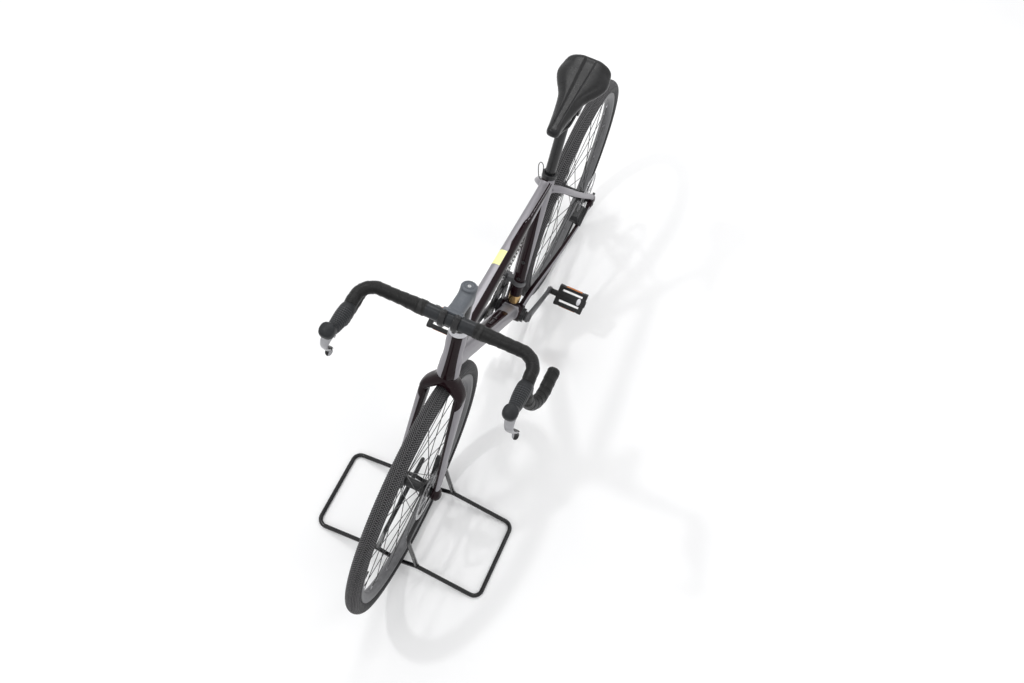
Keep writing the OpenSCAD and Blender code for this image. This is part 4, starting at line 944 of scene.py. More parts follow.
def make_frame():
    """The frame as one welded shell with its two paints; some of its mauve strips are painted highlights."""
    tubes = frame_tubes()
    shell = welded("frame_shell", list(tubes.values()), "frame", FINISH["frame_paint"], *SHELL_MESH)
    co = coords(shell)
    names = list(tubes)
    far = np.stack([tubes[n].distance(co) for n in names], 1)
    on = np.array(names)[far.argmin(1)]
    out = np.abs(co[:, 1])
    ahead = (co - on_steerer(0)) @ STEER_FWD
    value = np.full(len(co), -0.01)
    value = np.where(on == "top", top_tube_tone(co), value)
    value = np.where(on == "down", down_tube_tone(co), value)
    # Mauve up the seat tube's left side, widest near its top, is a painted highlight.
    value = np.where(on == "seat", co[:, 1] - np.interp(co[:, 2], [0.30, 0.50, 0.72], [0.020, 0.0125, 0.0040]), value)
    value = np.where(np.char.startswith(on, "seatstay"), 0.01, value)
    # Mauve on the chainstays' outer faces is a painted highlight.
    value = np.where(np.char.startswith(on, "chainstay"), out - np.abs(middle_of(tubes, co)) - 0.004, value)
    # The head tube's dark panel is centred a little toward the left
    turn = np.abs(np.degrees(np.arctan2(co[:, 1], ahead)) - 18)
    high = (co - CROWN) @ STEER_UP
    round_head = (np.hypot(out, ahead) < 0.031) & (high > -0.002) & (high < HEAD_LEN + 0.003)
    panel = (turn - np.interp(high, [0, HEAD_LEN], [36, 32])) * 0.0004
    value = np.where((on == "head") | (round_head & (ahead > 0.002)), panel, value)
    tone(shell, value)
    make_eyelets()
    make_sticker()
    make_band()
    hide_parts("head_tube", "top_tube", "down_tube", "seat_tube", "chainstays", "seatstays", "dropouts")


def make_eyelets():
    """A drilled rack eyelet at the back of each dropout."""
    shapes = []
    for side in (LEFT, RIGHT):
        at = REAR_HUB + np.array([-0.014, side * REAR_END_Y, 0.013])
        profile = [(0.0021, 0.0030), (0.0026, 0.0036), (0.0048, 0.0036), (0.0055, 0.0029), (0.0055, -0.0029),
                   (0.0048, -0.0036), (0.0026, -0.0036), (0.0021, -0.0030)]
        v, f = revolve(profile, 48, closed_profile=True)
        shapes.append((v + at, f))
    part("rack_eyelets", merged(shapes), "frame", "black_alloy")


def on_top_tube(t, y, lift):
    """A point on the top tube's upper face, at a share of its length and a distance from the middle plane."""
    tall, wide = mix(np.array(TOP_SIZE_HEAD), np.array(TOP_SIZE_SEAT), smooth(0.2, 1.0, t))
    rise = tall * max(0.0, 1 - abs(y / wide) ** TOP_POWER) ** (1 / TOP_POWER)
    return mix(TOP_AT_HEAD, TOP_AT_SEAT, t) + (rise + lift) * TOP_UP + y * ACROSS


def make_sticker():
    """A blank pale sticker on the top tube, with a faint second layer."""
    shapes = []
    for (t0, t1), (y0, y1), lift in (((0.425, 0.512), (-0.0178, 0.0030), 0.00030),
                                     ((0.438, 0.500), (-0.0140, -0.0010), 0.00040)):
        rows, n = 14, 18
        faces = [[on_top_tube(t, y, h) for t in np.linspace(t0, t1, rows) for y in np.linspace(y0, y1, n)]
                 for h in (lift, -0.0004)]
        shapes.append(slab(*faces, n))
    piece("top_tube_sticker", *merged(shapes), "frame", FINISH["sticker"], sharp=True)


def make_band():
    """A brass-coloured band round the foot of the seat tube."""
    rows, n = 10, 32
    grids = []
    for lift in (0.0009, -0.0004):
        grids.append([])
        for k in np.linspace(0.043, 0.071, rows):
            soft = 0.0006 * (abs(k - 0.057) > 0.0135)
            for a in np.radians(np.linspace(-100, 100, n)):
                r = SEAT_TUBE_R + lift - (soft if lift > 0 else 0)
                grids[-1].append(on_seat(k, r * math.cos(a), r * math.sin(a)))
    piece("seat_tube_band", *slab(*grids, n), "frame", FINISH["brass"], sharp=True)


def middle_of(tubes, co):
    """The distance from the middle plane of the chainstay's centre line beside each point."""
    path = tubes["chainstay_left"].path
    order = np.argsort(path[:, 0])
    return np.interp(co[:, 0], path[order, 0], path[order, 1])


# ---- Fork ----

LEG_UP = unit(CROWN - FRONT_HUB)
LEG_FWD = square_fwd(LEG_UP)
TYRE_C = TYRE_R - TYRE_HALF
FORK_END_Y = 0.0575
ARCH_R = 0.0455


def at_leg(fwd, y, up):
    """A point by its place in the fork legs' own axes, from the front axle."""
    return FRONT_HUB + fwd * LEG_FWD + y * ACROSS + up * LEG_UP


def fork_tubes():
    """The fork's tubes by name."""
    leg_top = TYRE_C - 0.020
    tubes = {}
    shares = np.linspace(0.02, 0.985, 14)
    path = [(mix(FORK_END_Y, ARCH_R, t), leg_top * t) for t in shares]
    sizes = [(mix(0.012, 0.020, t**1.2), mix(0.006, 0.0125, t)) for t in shares]
    arch, arch_sizes = [], []
    for a in np.radians(np.linspace(8, 172, 42)):
        pull = 1 - 0.11 * math.sin(2 * a) ** 2
        arch.append((ARCH_R * pull * math.cos(a), TYRE_C + ARCH_R * pull * math.sin(a)))
        arch_sizes.append((mix(0.0195, 0.026, math.sin(a)), mix(0.0118, 0.0150, math.sin(a))))
    whole = [at_leg(0, y, up) for y, up in path + arch + [(-y, up) for y, up in reversed(path)]]
    tubes["legs"] = Tube(whole, sizes + arch_sizes + sizes[::-1], LEG_FWD, power=2.8)
    for side, word in SIDES:
        tubes["end_" + word] = Tube([at_leg(0, side * (FORK_END_Y + thick), 0) for thick in (-0.007, 0, 0.007)],
                                    (0.017, 0.017))
    tubes["pad"] = Tube([at_leg(-0.008, 0.0545, up) for up in (0.038, 0.07, 0.109)], (0.008, 0.007), LEG_FWD,
                        power=5)
    z = np.array([-20, -12, -6, -0.4]) * MM
    r = np.array([22, 24, 25.3, 26.4]) * MM
    tubes["crown"] = Tube([on_steerer(k) for k in z], np.stack([r, r], 1), SEAT_FWD)
    return tubes


def make_fork():
    """The fork as one welded shell, mauve on the outer faces of its legs."""
    tubes = fork_tubes()
    shell = welded("fork_shell", list(tubes.values()), "fork", FINISH["frame_paint"], *SHELL_MESH)
    co = coords(shell)
    up = (co - FRONT_HUB) @ LEG_UP
    fwd = (co - FRONT_HUB) @ LEG_FWD
    out = np.abs(co[:, 1])
    middle = mix(FORK_END_Y, ARCH_R, np.clip(up / (TYRE_C - 0.02), 0, 1))
    outer = (out - middle) + 0.0012 - 0.0012 * smooth(0.002, 0.012, fwd)
    point = (TYRE_C - 0.008 - 0.9 * np.maximum(fwd, -0.004) + 1.1 * (out - middle)) - up
    tone(shell, np.minimum(np.minimum(outer, point * 0.3), (up - 0.022) * 0.3))
    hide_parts("fork")


# ---- Tyres ----

CASING_R = TYRE_HALF - 0.0014
TREAD_COUNT = 172


def on_tyre(turn, lean, height):
    """Points on a tyre's casing: the turn about the axle, the lean across it and the height above it."""
    r = TYRE_C + (CASING_R + height) * np.cos(lean)
    return np.stack([r * np.cos(turn), (CASING_R + height) * np.sin(lean), r * np.sin(turn)], -1)


def knob(turn, lean, long, wide, high, skew=0.0):
    """A tread knob with sloping sides: half its length and width, its height and its skew."""
    verts = []
    for h, grow in ((-0.0006, 1.18), (high, 0.86)):
        for a, b in ((-1, -1), (1, -1), (1, 1), (-1, 1)):
            x, y = a * long * grow, b * wide * grow
            verts.append(on_tyre(turn + (x + skew * y) / TYRE_R, lean + y / TYRE_HALF, h))
    return np.array(verts), [(4, 5, 6, 7), (0, 1, 5, 4), (1, 2, 6, 5), (2, 3, 7, 6), (3, 0, 4, 7)]


def tread_patch(turn, pitch):
    """One repeat of the tread: close rows of slanted diamonds, short bars beside them and knobs at the shoulders."""
    shapes = []
    for k in range(2):
        step = turn + k * pitch / 2
        for row in (-1, 0, 1):
            shapes.append(knob(step + 0.5 * (row != 0) * pitch / 2, row * 0.135, 0.0019, 0.0010, 0.0013, 0.6 * row))
        for side in (LEFT, RIGHT):
            shift = pitch / 4 * (side == LEFT)
            for row, (lean, long, wide, high, skew) in enumerate((
                    (0.32, 0.0016, 0.0014, 0.0013, 0.7), (0.50, 0.0017, 0.0014, 0.0014, -0.7),
                    (0.69, 0.0018, 0.0015, 0.0015, 0.5), (0.89, 0.0019, 0.0016, 0.0016, -0.2),
                    (1.08, 0.0016, 0.0014, 0.0017, 0.0))):
                shapes.append(knob(step + shift + (row % 2) * pitch / 4, side * lean, long, wide, high, side * skew))
    return shapes


def make_tyre(name, at, body):
    """A casing with moulded lines on its sides, and its tread knobs."""
    profile = []
    for a in np.radians(np.linspace(-146, 146, 49)):
        r = CASING_R + 0.0004 * (0.5 + 0.5 * math.cos(18 * a)) * (abs(a) > 1.25) * (abs(a) < 1.9)
        profile.append((TYRE_C + r * math.cos(a), r * math.sin(a)))
    pitch = 2 * math.pi / TREAD_COUNT
    shapes = [revolve(profile, 160)]
    for k in range(TREAD_COUNT):
        shapes += tread_patch(k * pitch, pitch)
    verts, faces = merged(shapes)
    obj = part(name + "_tread", (verts + at, faces), body, "tyre", name)
    side = np.hypot(verts[:, 0], verts[:, 2])
    height = np.hypot(side - TYRE_C, verts[:, 1]) - CASING_R
    tone(obj, smooth(0.0005, 0.0011, height), "raised")

# ---- Wheels ----

RIM_IN = TYRE_C - 0.039
SPOKES = 28


def make_nipples(name, at, body):
    """A nipple where each spoke meets the rim, and the tyre's valve."""
    shapes = []
    pair = 2 * math.pi / (SPOKES / 2)
    for side in (LEFT, RIGHT):
        for k in range(SPOKES // 2):
            a = k * pair + (0 if side == LEFT else pair / 2)
            out = np.array([math.cos(a), 0, math.sin(a)])
            foot = (RIM_IN + 0.001) * out + side * 0.0024 * ACROSS
            shapes.append(rounded_rod(foot, (RIM_IN - 0.011) * out + side * 0.0030 * ACROSS, 0.0016, 0.0004, 12))
    part(name + "_nipples", merged([(v + at, f) for v, f in shapes]), body, "lever_alloy", sharp=False)
    a = pair * 0.25
    out = np.array([math.cos(a), 0, math.sin(a)])
    stem = [rounded_rod((RIM_IN + 0.002) * out, (RIM_IN - 0.026) * out, 0.0030, 0.0004, 20),
            rounded_rod((RIM_IN + 0.0005) * out, (RIM_IN - 0.0035) * out, 0.0060, 0.0006, 6),
            rounded_rod((RIM_IN - 0.026) * out, (RIM_IN - 0.036) * out, 0.0022, 0.0006, 20)]
    part(name + "_valve", merged([(v + at, f) for v, f in stem]), body, "black_alloy")


# ---- Cockpit ----


def side_curve(side):
    """The bar's centre line on one side, from beside the stem to the drop's end."""
    corner = 0.040
    hook = 0.036
    big = BAR_DROP - hook
    flare = lambda z: BAR_HALF + BAR_FLARE * (-z / BAR_DROP)
    pts = [(0, BARE_HALF, 0), (0, BARE_HALF + 0.022, 0), (0, 0.12, 0)]
    pts += [(corner + corner * math.sin(a), BAR_HALF - corner + corner * math.cos(a), 0)
            for a in np.radians(np.arange(-90, 1, 10))]
    for a in np.radians(np.arange(90, -1, -10)):
        z = hook * (math.sin(a) - 1)
        pts.append((BAR_REACH - hook + hook * math.cos(a), flare(z), z))
    for a in np.radians(np.arange(-9, -91, -9)):
        z = -hook + big * math.sin(a)
        pts.append((BAR_REACH - big + big * math.cos(a), flare(z), z))
    pts.append((-0.044, BAR_HALF + BAR_FLARE, -BAR_DROP))
    return np.array([BAR_AT + np.array([x, side * y, z]) for x, y, z in pts])


def make_tape(name, side):
    """Tape wound round the bar from its end to beside the stem, each turn lapping the one before."""
    path = through(side_curve(side), 460)
    far = lengths(path)
    inner = mix(BAR_CLAMP_R - 0.0004, BAR_R, smooth(-0.02, 0.075, far))
    pitch = 0.021
    n = 40
    t = along_path(path)
    angle = np.linspace(0, 2 * math.pi, n, endpoint=False)
    wound = (far[:, None] / pitch + side * angle[None] / (2 * math.pi)) % 1.0
    lap = 0.0009 * smooth(0.0, 0.07, wound) * (1 - 0.9 * smooth(0.10, 1.0, wound))
    height = TAPE_T - 0.0013 + lap + 0.0002 * np.sin(angle * 3 + far[:, None] * 90)
    r = inner[:, None] + height
    close = smooth(0.0, 0.003, far)[:, None] * smooth(0.0, 0.002, far[-1] - far)[:, None]
    r = inner[:, None] + (r - inner[:, None]) * (0.35 + 0.65 * close)
    verts = rings(path, t, UP, r * np.cos(angle), r * np.sin(angle))
    obj = part(name + "_wrap", (verts, band_faces(len(path), n)), "fork", "bar_tape", name)
    tone(obj, wound.ravel(), "across")
    # A strip of finishing tape beside the stem and the plug in the bar's end
    ring = loft([path[0] + side * ACROSS * k for k in (0.0003, 0.0008, 0.016, 0.0165)],
                evenly([BAR_CLAMP_R + h for h in (0.0006, 0.0012, 0.0014, 0.0008)]), UP, 48)
    part(name + "_strip", ring, "fork", "black_plastic")
    end, out = path[-1], t[-1]
    plug = loft([end - 0.002 * out, end + 0.0005 * out, end + 0.0022 * out, end + 0.0032 * out],
                evenly([0.0128, 0.0136, 0.0122, 0.006]), UP, 40)
    part(name + "_plug", plug, "fork", "black_plastic", sharp=False)


HOOD_LINE = [(-9, -8), (-4, -3), (18, 3), (40, 9), (58, 17), (70, 30), (76, 44), (78, 52)]
HOOD_SIZES = [(15, 15), (17.5, 17), (18, 17), (16.5, 15), (15.5, 13), (17.8, 15.6), (16.0, 15.6), (9, 9.5)]
LEVER_LINE = [(68, 2, 10), (81, 4, 2), (84, 7, -22), (74, 11, -52), (60, 15, -80), (58, 17, -96), (66, 18, -106)]
LEVER_SIZES = [(12, 6), (11, 5.5), (9.5, 5), (8.5, 4.5), (8, 4.2), (8, 4), (6, 3)]


def by_reach(x, y, z):
    """A point given in millimetres from the bar's centre, with x counted from the bar's reach."""
    return BAR_AT + np.array([BAR_REACH + x * MM, y * MM, z * MM])


def make_hood(name, side):
    """Rubber hood: a palm rest that runs up into a rounded knob."""
    table = [(x, z, a, b) for (x, z), (a, b) in zip(HOOD_LINE, HOOD_SIZES)]
    line = through(table, 72)
    path = np.array([by_reach(x, side * BAR_HALF / MM, z) for x, z in line[:, :2]])
    sizes = line[:, 2:] * MM
    lean = np.linspace(0, 1, len(path))
    sizes = sizes * np.sqrt(np.clip(1 - ((lean - 0.93) / 0.072) ** 2 * (lean > 0.93), 0.02, 1))[:, None]
    n = 48
    verts, faces = loft(path, sizes, UP, n, 2.35)
    verts = verts.reshape(-1, n, 3)
    a = np.linspace(0, 2 * math.pi, n, endpoint=False)
    # A waist behind the knob
    waist = 0.0016 * np.exp(-((lean - 0.66) / 0.08) ** 2)[:, None] * (0.4 + 0.6 * np.cos(a)[None] ** 2)
    centre = path[:, None]
    out = verts - centre
    verts = centre + out * (1 - waist / np.maximum(np.linalg.norm(out, axis=2), 1e-5))[..., None]
    obj = part(name + "_cover", (verts.reshape(-1, 3), faces), "fork", "hood_rubber", name, sharp=False)
    reach = smooth(0.10, 0.16, lean)[:, None] * (1 - smooth(0.55, 0.62, lean))[:, None]
    tone(obj, (np.clip(np.cos(a) + 0.7, 0, 1)[None] ** 0.5 * reach).ravel(), "ribbed")
    tone(obj, np.repeat(lengths(path), n), "along")


def make_lever(name, side):
    """Brake lever blade with the shift paddle behind it."""
    table = [(x, y, z, a, b) for (x, y, z), (a, b) in zip(LEVER_LINE, LEVER_SIZES)]
    line = through(table, 60)
    path = np.array([by_reach(x, side * (BAR_HALF / MM + y), z) for x, y, z in line[:, :3]])
    sizes = line[:, 3:] * MM
    k = np.linspace(0, 1, len(path))
    sizes = sizes * np.sqrt(np.clip(1 - ((k - 0.95) / 0.052) ** 2 * (k > 0.95), 0.03, 1))[:, None]
    blade = loft(path, sizes * [0.96, 0.72], ACROSS, 28, 2.6)
    part(name + "_blade", blade, "fork", "lever_alloy", name, sharp=False)
    tip = loft(path[44:], sizes[44:] * [0.96, 0.72] + 0.0003, ACROSS, 28, 2.6)
    part(name + "_tip", tip, "fork", "black_plastic", sharp=False)
    behind = path + np.array([-0.0055, 0, 0])[None] * smooth(0.1, 0.4, k)[:, None]
    paddle = loft(behind[14:52], sizes[14:52] * [0.85, 0.35], ACROSS, 24, 2.6)
    part(name + "_paddle", paddle, "fork", "black_plastic", sharp=False)
    pin = [by_reach(66, side * (BAR_HALF / MM + y), 7) for y in (-11, 11)]
    part(name + "_pivot", rounded_rod(*pin, 0.0035), "fork", "silver_alloy")


def on_stem(fwd, y, up):
    """A point by its place ahead of the steerer, across, and above the stem's middle."""
    return on_steerer(STEM_AT + up, fwd, y)


def socket_bolt(at, axis, r=0.0042, deep=0.0022):
    """A round bolt head with a six-sided recess."""
    axis = unit(np.asarray(axis, float))
    n = 36
    a = np.linspace(0, 2 * math.pi, n, endpoint=False)
    hexed = r * 0.5 * math.cos(math.pi / 6) / np.cos(a % (math.pi / 3) - math.pi / 6)
    radius = np.vstack([np.full((4, n), r) * np.array([[0.98], [1], [0.9], [0.56]]), hexed, hexed])
    height = np.array([-0.004, -0.0005, 0, 0, 0, -deep])
    verts = rings(at + height[:, None] * axis, np.tile(axis, (6, 1)), beside(axis), radius * np.cos(a),
                  radius * np.sin(a))
    return verts, band_faces(6, n, caps=False) + [tuple(range(5 * n, 6 * n))]


def make_stem():
    """Stem body, its cap with turned rings, faceplate and bolts."""
    outer = STEERER_R + 0.0045
    clamp_r = BAR_CLAMP_R + 0.0045
    post = Tube([on_stem(0, 0, u) for u in (-0.0205, -0.01, 0.01, 0.0205)], (outer, outer), SEAT_FWD, 2.0)
    x = [0, 0.012, 0.03, 0.05, 0.066, 0.072]
    tall = [0.0195, 0.0190, 0.0165, 0.0150, 0.0152, 0.0155]
    wide = [0.0178, 0.0180, 0.0178, 0.0178, 0.0186, 0.0190]
    body = Tube([on_stem(k, 0, 0) for k in x], np.stack([tall, wide], 1), STEER_UP, 3.0)
    clamp = Tube([on_stem(STEM_LEN - 0.0008, y, 0) for y in (-0.0228, -0.01, 0.01, 0.0228)],
                 (clamp_r, clamp_r), STEER_UP, 2.0)
    obj = welded("stem_body", [post, body, clamp], "fork", FINISH["grey_alloy"], 0.0016, 0.004)
    co = coords(obj)
    fwd = (co - BAR_AT) @ STEER_FWD
    # The faceplate's half is cut away
    co = co - np.maximum(fwd - 0.0004, 0)[:, None] * STEER_FWD
    set_coords(obj, co)
    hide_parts("stem")
    # Cap: turned rings about the steerer
    top = STEM_AT + STEM_H / 2
    profile = [(0.0030, 0.0020), (0.0030, 0.0040), (0.0052, 0.0040), (0.0058, 0.0052), (0.0100, 0.0054),
               (0.0106, 0.0042), (0.0122, 0.0042), (0.0128, 0.0053), (0.0158, 0.0050), (0.0176, 0.0038),
               (0.0186, 0.0018), (0.0186, 0.0002)]
    v, f = revolve(profile, 72)
    v = placed(v, STEER_FWD, STEER_UP, ACROSS, on_steerer(top))
    part("stem_cap", (v, f), "fork", "grey_alloy")
    part("stem_cap_bolt", socket_bolt(on_steerer(top + 0.0046), STEER_UP, 0.0042), "fork", "silver_alloy")
    make_faceplate(clamp_r)
    bolts = [socket_bolt(on_stem(-outer - 0.0030, s * 0.0085, s * 0.010), -STEER_FWD, 0.0036) for s in (1, -1)]
    lugs = [rounded_rod(on_stem(-outer + 0.008, 0.0085 * s, s * 0.010),
                        on_stem(-outer - 0.0034, 0.0085 * s, s * 0.010), 0.0062) for s in (1, -1)]
    part("stem_pinch_lugs", merged(lugs), "fork", "grey_alloy")
    part("stem_pinch_bolts", merged(bolts), "fork", "black_alloy")


def make_faceplate(clamp_r):
    """Faceplate: a half shell with an open window and four bolt bosses."""
    n, m = 40, 26
    shapes = []
    for low, high in ((-0.0225, -0.0085), (0.0085, 0.0225)):
        y = np.linspace(low, high, m)
        edge = np.minimum(np.minimum(y - low, high - y) / 0.0015, 1)
        grids = []
        for radii in (clamp_r + 0.0002 - 0.0012 * (1 - edge) ** 2, np.full(m, BAR_CLAMP_R + 0.0002)):
            grids.append([on_stem(STEM_LEN + 0.0014 + r * math.cos(a), q, r * math.sin(a))
                          for a in np.linspace(-math.pi / 2, math.pi / 2, n + 1) for q, r in zip(y, radii)])
        shapes.append(slab(*grids, m))
    bolts = []
    for s in (-1, 1):
        for up in (-1, 1):
            a = on_stem(STEM_LEN + 0.0016, s * 0.015, up * (BAR_CLAMP_R + 0.003))
            shapes.append(rounded_rod(a, a + 0.0105 * STEER_FWD, 0.0048, 0.0006))
            bolts.append(socket_bolt(a + 0.0118 * STEER_FWD, STEER_FWD, 0.0036))
            arm = [on_stem(STEM_LEN + x, s * 0.015, up * u) for x, u in
                   ((0.0045, 0.0205), (0.0115, 0.0182), (0.0165, 0.0125))]
            shapes.append(loft(arm, [(0.003, 0.0052), (0.0028, 0.005), (0.001, 0.004)], STEER_UP, 20, 3.0))
    part("faceplate_shell", merged(shapes), "fork", "black_alloy", "faceplate")
    part("faceplate_bolts", merged(bolts), "fork", "black_alloy")


# ---- Cables ----

CABLE_R = 0.0022


def cable_routes():
    """The four cables' centre lines: from the tape's ends, under the bar and into the stem."""
    for side, word in SIDES:
        for k in (0, 1):
            start = BAR_AT + np.array([0.003 - 0.007 * k, side * (BARE_HALF - 0.0005),
                                       -BAR_CLAMP_R - CABLE_R - 0.0015 - 0.0015 * k])
            x = STEM_LEN - 0.040 - 0.007 * k
            run = (x - STEERER_R - 0.0045) / (STEM_LEN - 0.024 - STEERER_R - 0.0045)
            port = on_stem(x, side * (0.005 + 0.005 * k), -mix(STEM_H / 2 - 0.002, 0.015, run) - 0.0015)
            path = bezier(start, start - np.array([0.003, side * 0.024, 0.005]),
                          port - 0.022 * STEER_UP + np.array([0.004, side * 0.012, 0]), port, 24)
            yield "cable_%s_%d" % (word, k), path


def make_cables():
    """The four cables, which turn with the handlebar."""
    for k, (name, path) in enumerate(cable_routes()):
        obj = piece(name, *loft(path, (CABLE_R, CABLE_R), UP, 16), "fork", FINISH["cable_sheath"])
        if k == 0:
            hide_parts("bar_cables")


# ---- Saddle and post ----

SADDLE_HEIGHT = 0.752
SADDLE_LEN = 0.265
SADDLE_W = 0.144
RAIL_DROP = 0.046
RAIL_Y = 0.022
SADDLE_TOP = on_seat(SADDLE_HEIGHT)
POST_TOP = SADDLE_TOP - RAIL_DROP * UP


def saddle_half(t):
    """Half width of the saddle from its tail to its nose."""
    tail = SADDLE_W / 2 * mix(0.80, 1, np.sin(np.minimum(1, t / 0.3) * math.pi / 2))
    waist = tail * mix(1, 0.66, np.clip((t - 0.2) / 0.25, 0, 1) ** 1.5)
    nose = mix(SADDLE_W * 0.33, 0.019, np.clip((t - 0.45) / 0.55, 0, 1) ** 0.6)
    return mix(waist, nose, smooth(0.40, 0.52, t))


def saddle_form():
    """The saddle before it is padded out: a shell with a crowned top and dropped edges."""
    rows, n = 72, 56
    verts = []
    for t in np.linspace(0, 1, rows):
        w = float(saddle_half(t))
        end = min(t / 0.06, (1 - t) / 0.05, 1)
        e = mix(0.55, 1, math.sqrt(max(0, 1 - (1 - end) ** 2)))
        x = SADDLE_TOP[0] - SADDLE_LEN / 2 + SADDLE_LEN * mix(0.012, 0.988, t)
        for a in np.linspace(0, 2 * math.pi, n, endpoint=False):
            c, s = math.cos(a), math.sin(a)
            y = (w - 0.003) * e * math.copysign(abs(c) ** 0.7, c)
            z = SADDLE_TOP[2] - 0.016 + (0.012 * e * s**0.6 if s > 0 else -0.013 * e * (-s) ** 0.6)
            z -= 0.010 * abs(c) ** 3 * w / 0.070
            z += 0.003 * smooth(0.85, 1.0, 1 - t) - 0.002 * smooth(0.8, 1, t)
            verts.append((x, y, z))
    return np.array(verts), band_faces(rows, n)


def padded_out(obj, voxel, pressure, cap):
    """Swells a closed form like a pad, and keeps each point within `cap` of where it was."""
    remeshed(obj, voxel)
    before = coords(obj)
    cloth = obj.modifiers.new("cloth", "CLOTH")
    cloth.settings.use_pressure = True
    cloth.settings.uniform_pressure_force = pressure
    cloth.settings.effector_weights.gravity = 0
    for k in range(1, 21):
        bpy.context.scene.frame_set(k)
    baked(obj)
    bpy.context.scene.frame_set(1)
    after = coords(obj)
    move = after - before
    size = np.linalg.norm(move, axis=1)[:, None]
    set_coords(obj, before + move * np.minimum(1, cap / np.maximum(size, 1e-9)))
    soft = obj.modifiers.new("soft", "SUBSURF")
    soft.levels = 1
    baked(obj)
    obj.data.shade_smooth()


def make_saddle():
    """The padded saddle."""
    obj = piece("saddle_pad", *saddle_form(), "frame", FINISH["saddle_cover"])
    padded_out(obj, 0.004, 4.0, 0.0025)
    co = coords(obj)
    t = (co[:, 0] - SADDLE_TOP[0] + SADDLE_LEN / 2) / SADDLE_LEN
    # A shallow channel down the middle, cut in the top
    half = np.interp(t, [0, 0.5, 1], [0.015, 0.010, 0.006])
    channel = 1 - smooth(0.75, 1.15, np.abs(co[:, 1]) / half)
    channel = channel * smooth(0.0, 0.10, t) * (1 - smooth(0.86, 0.99, t))
    top = smooth(-0.018, -0.008, co[:, 2] - SADDLE_TOP[2])
    co[:, 2] -= 0.0042 * channel * top
    set_coords(obj, co)
    if not obj.data.materials:
        obj.data.materials.append(FINISH["saddle_cover"])
    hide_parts("saddle")


def make_rails():
    """The two bent rods under the saddle."""
    shapes = []
    for side in (LEFT, RIGHT):
        pts = [POST_TOP + np.array([x, side * (RAIL_Y + y), z]) for x, y, z in
               ((0.112, -0.012, 0.015), (0.084, -0.008, 0.005), (0.052, 0, 0), (-0.05, 0, 0), (-0.084, 0.012, 0.009),
                (-0.108, 0.022, 0.021))]
        shapes.append(loft(through(pts, 60), (0.0035, 0.0035), UP, 20))
    part("rail_rods", merged(shapes), "frame", "black_alloy", "saddle_rails", sharp=False)


def make_post():
    """Seat post with its head and rail clamps."""
    low, high = SEAT_TUBE_LEN - 0.002, SADDLE_HEIGHT - RAIL_DROP - 0.004
    tube = loft([on_seat(k) for k in np.linspace(low, high, 8)], (POST_R, POST_R), SEAT_FWD, 48)
    part("post_tube", tube, "frame", "black_alloy", "seatpost", sharp=False)
    head = Tube([POST_TOP + np.array([0, y, -0.008]) for y in (-0.027, -0.015, 0.015, 0.027)], (0.0118, 0.0118))
    neck = Tube([on_seat(high - 0.02), on_seat(high - 0.008), on_seat(high + 0.001)],
                [(POST_R, POST_R), (0.0142, 0.0138), (0.015, 0.014)], SEAT_FWD, 2.3)
    obj = welded("post_head", [head, neck], "frame", FINISH["black_alloy"], 0.0015, 0.008)
    shapes = []
    for side in (LEFT, RIGHT):
        at = POST_TOP + np.array([0, side * RAIL_Y, 0])
        for z, tall in ((0.0042, 0.0042), (-0.0030, 0.0030)):
            shapes.append(loft([at + np.array([x, 0, z]) for x in (-0.0172, -0.0165, -0.01, 0.01, 0.0165, 0.0172)],
                               [(tall * 0.8, 0.0055), (tall, 0.0062), (tall, 0.0064), (tall, 0.0064), (tall, 0.0062),
                                (tall * 0.8, 0.0055)], UP, 28, 3.5))
    part("rail_clamps", merged(shapes), "frame", "black_alloy")


def make_seat_clamp():
    """Collar round the seat tube's top, with grooves and its bolt behind."""
    outer = SEAT_TUBE_R + 0.003
    groove = outer - 0.0006
    profile = [(outer - 0.0012, 0.0003), (outer, 0.0012), (outer, 0.0040), (groove, 0.0044), (groove, 0.0054),
               (outer, 0.0058), (outer, 0.0092), (groove, 0.0096), (groove, 0.0106), (outer, 0.0110),
               (outer, 0.0130), (outer - 0.0012, 0.0140), (POST_R + 0.0004, 0.0140), (POST_R + 0.0002, 0.0120)]
    v, f = revolve(profile, 72)
    v = placed(v, SEAT_FWD, SEAT_UP, ACROSS, on_seat(SEAT_TUBE_LEN))
    part("clamp_collar", (v, f), "frame", "black_alloy", "seat_clamp")
    lugs = []
    for side in (LEFT, RIGHT):
        a = on_seat(SEAT_TUBE_LEN + 0.007, -outer - 0.003, side * 0.0012)
        lugs.append(loft([a, a + side * ACROSS * 0.0052, a + side * ACROSS * 0.0058],
                         evenly([0.0062, 0.0062, 0.0056]), SEAT_UP, 28, 2.8))
    part("clamp_lugs", merged(lugs), "frame", "black_alloy")
    loop = through(np.array([(0.503, -0.0185), (0.520, -0.0205), (0.5285, -0.0250), (0.5303, -0.0300),
                             (0.5230, -0.0335), (0.5105, -0.0325), (0.4950, -0.0285), (0.4849, -0.0245),
                             (0.478, -0.0155)]), 40)
    part("post_wire", loft([on_seat(k, 0, y) for k, y in loop], (0.0011, 0.0011), SEAT_FWD, 12), "frame",
         "black_alloy", sharp=False)
    bolt = socket_bolt(on_seat(SEAT_TUBE_LEN + 0.007, -outer - 0.003, -0.0076), -ACROSS, 0.0036)
    part("clamp_bolt", bolt, "frame", "silver_alloy")

# ---- Cranks and pedals ----

CRANK_LEN = 0.1725
ARM_END_Y = 0.067
PEDAL_Y0 = 0.093
PEDAL_W = 0.090
PEDAL_PITCH = math.radians(28)
PEDAL_FWD = np.array([math.cos(PEDAL_PITCH), 0, -math.sin(PEDAL_PITCH)])
PEDAL_UP = np.array([math.sin(PEDAL_PITCH), 0, math.cos(PEDAL_PITCH)])


def arm_way(side):
    """The direction from the crank axis to one pedal."""
    way = joint_at("left_pedal_spin" if side == LEFT else "right_pedal_spin") - CRANK
    return unit(way * [1, 0, 1])


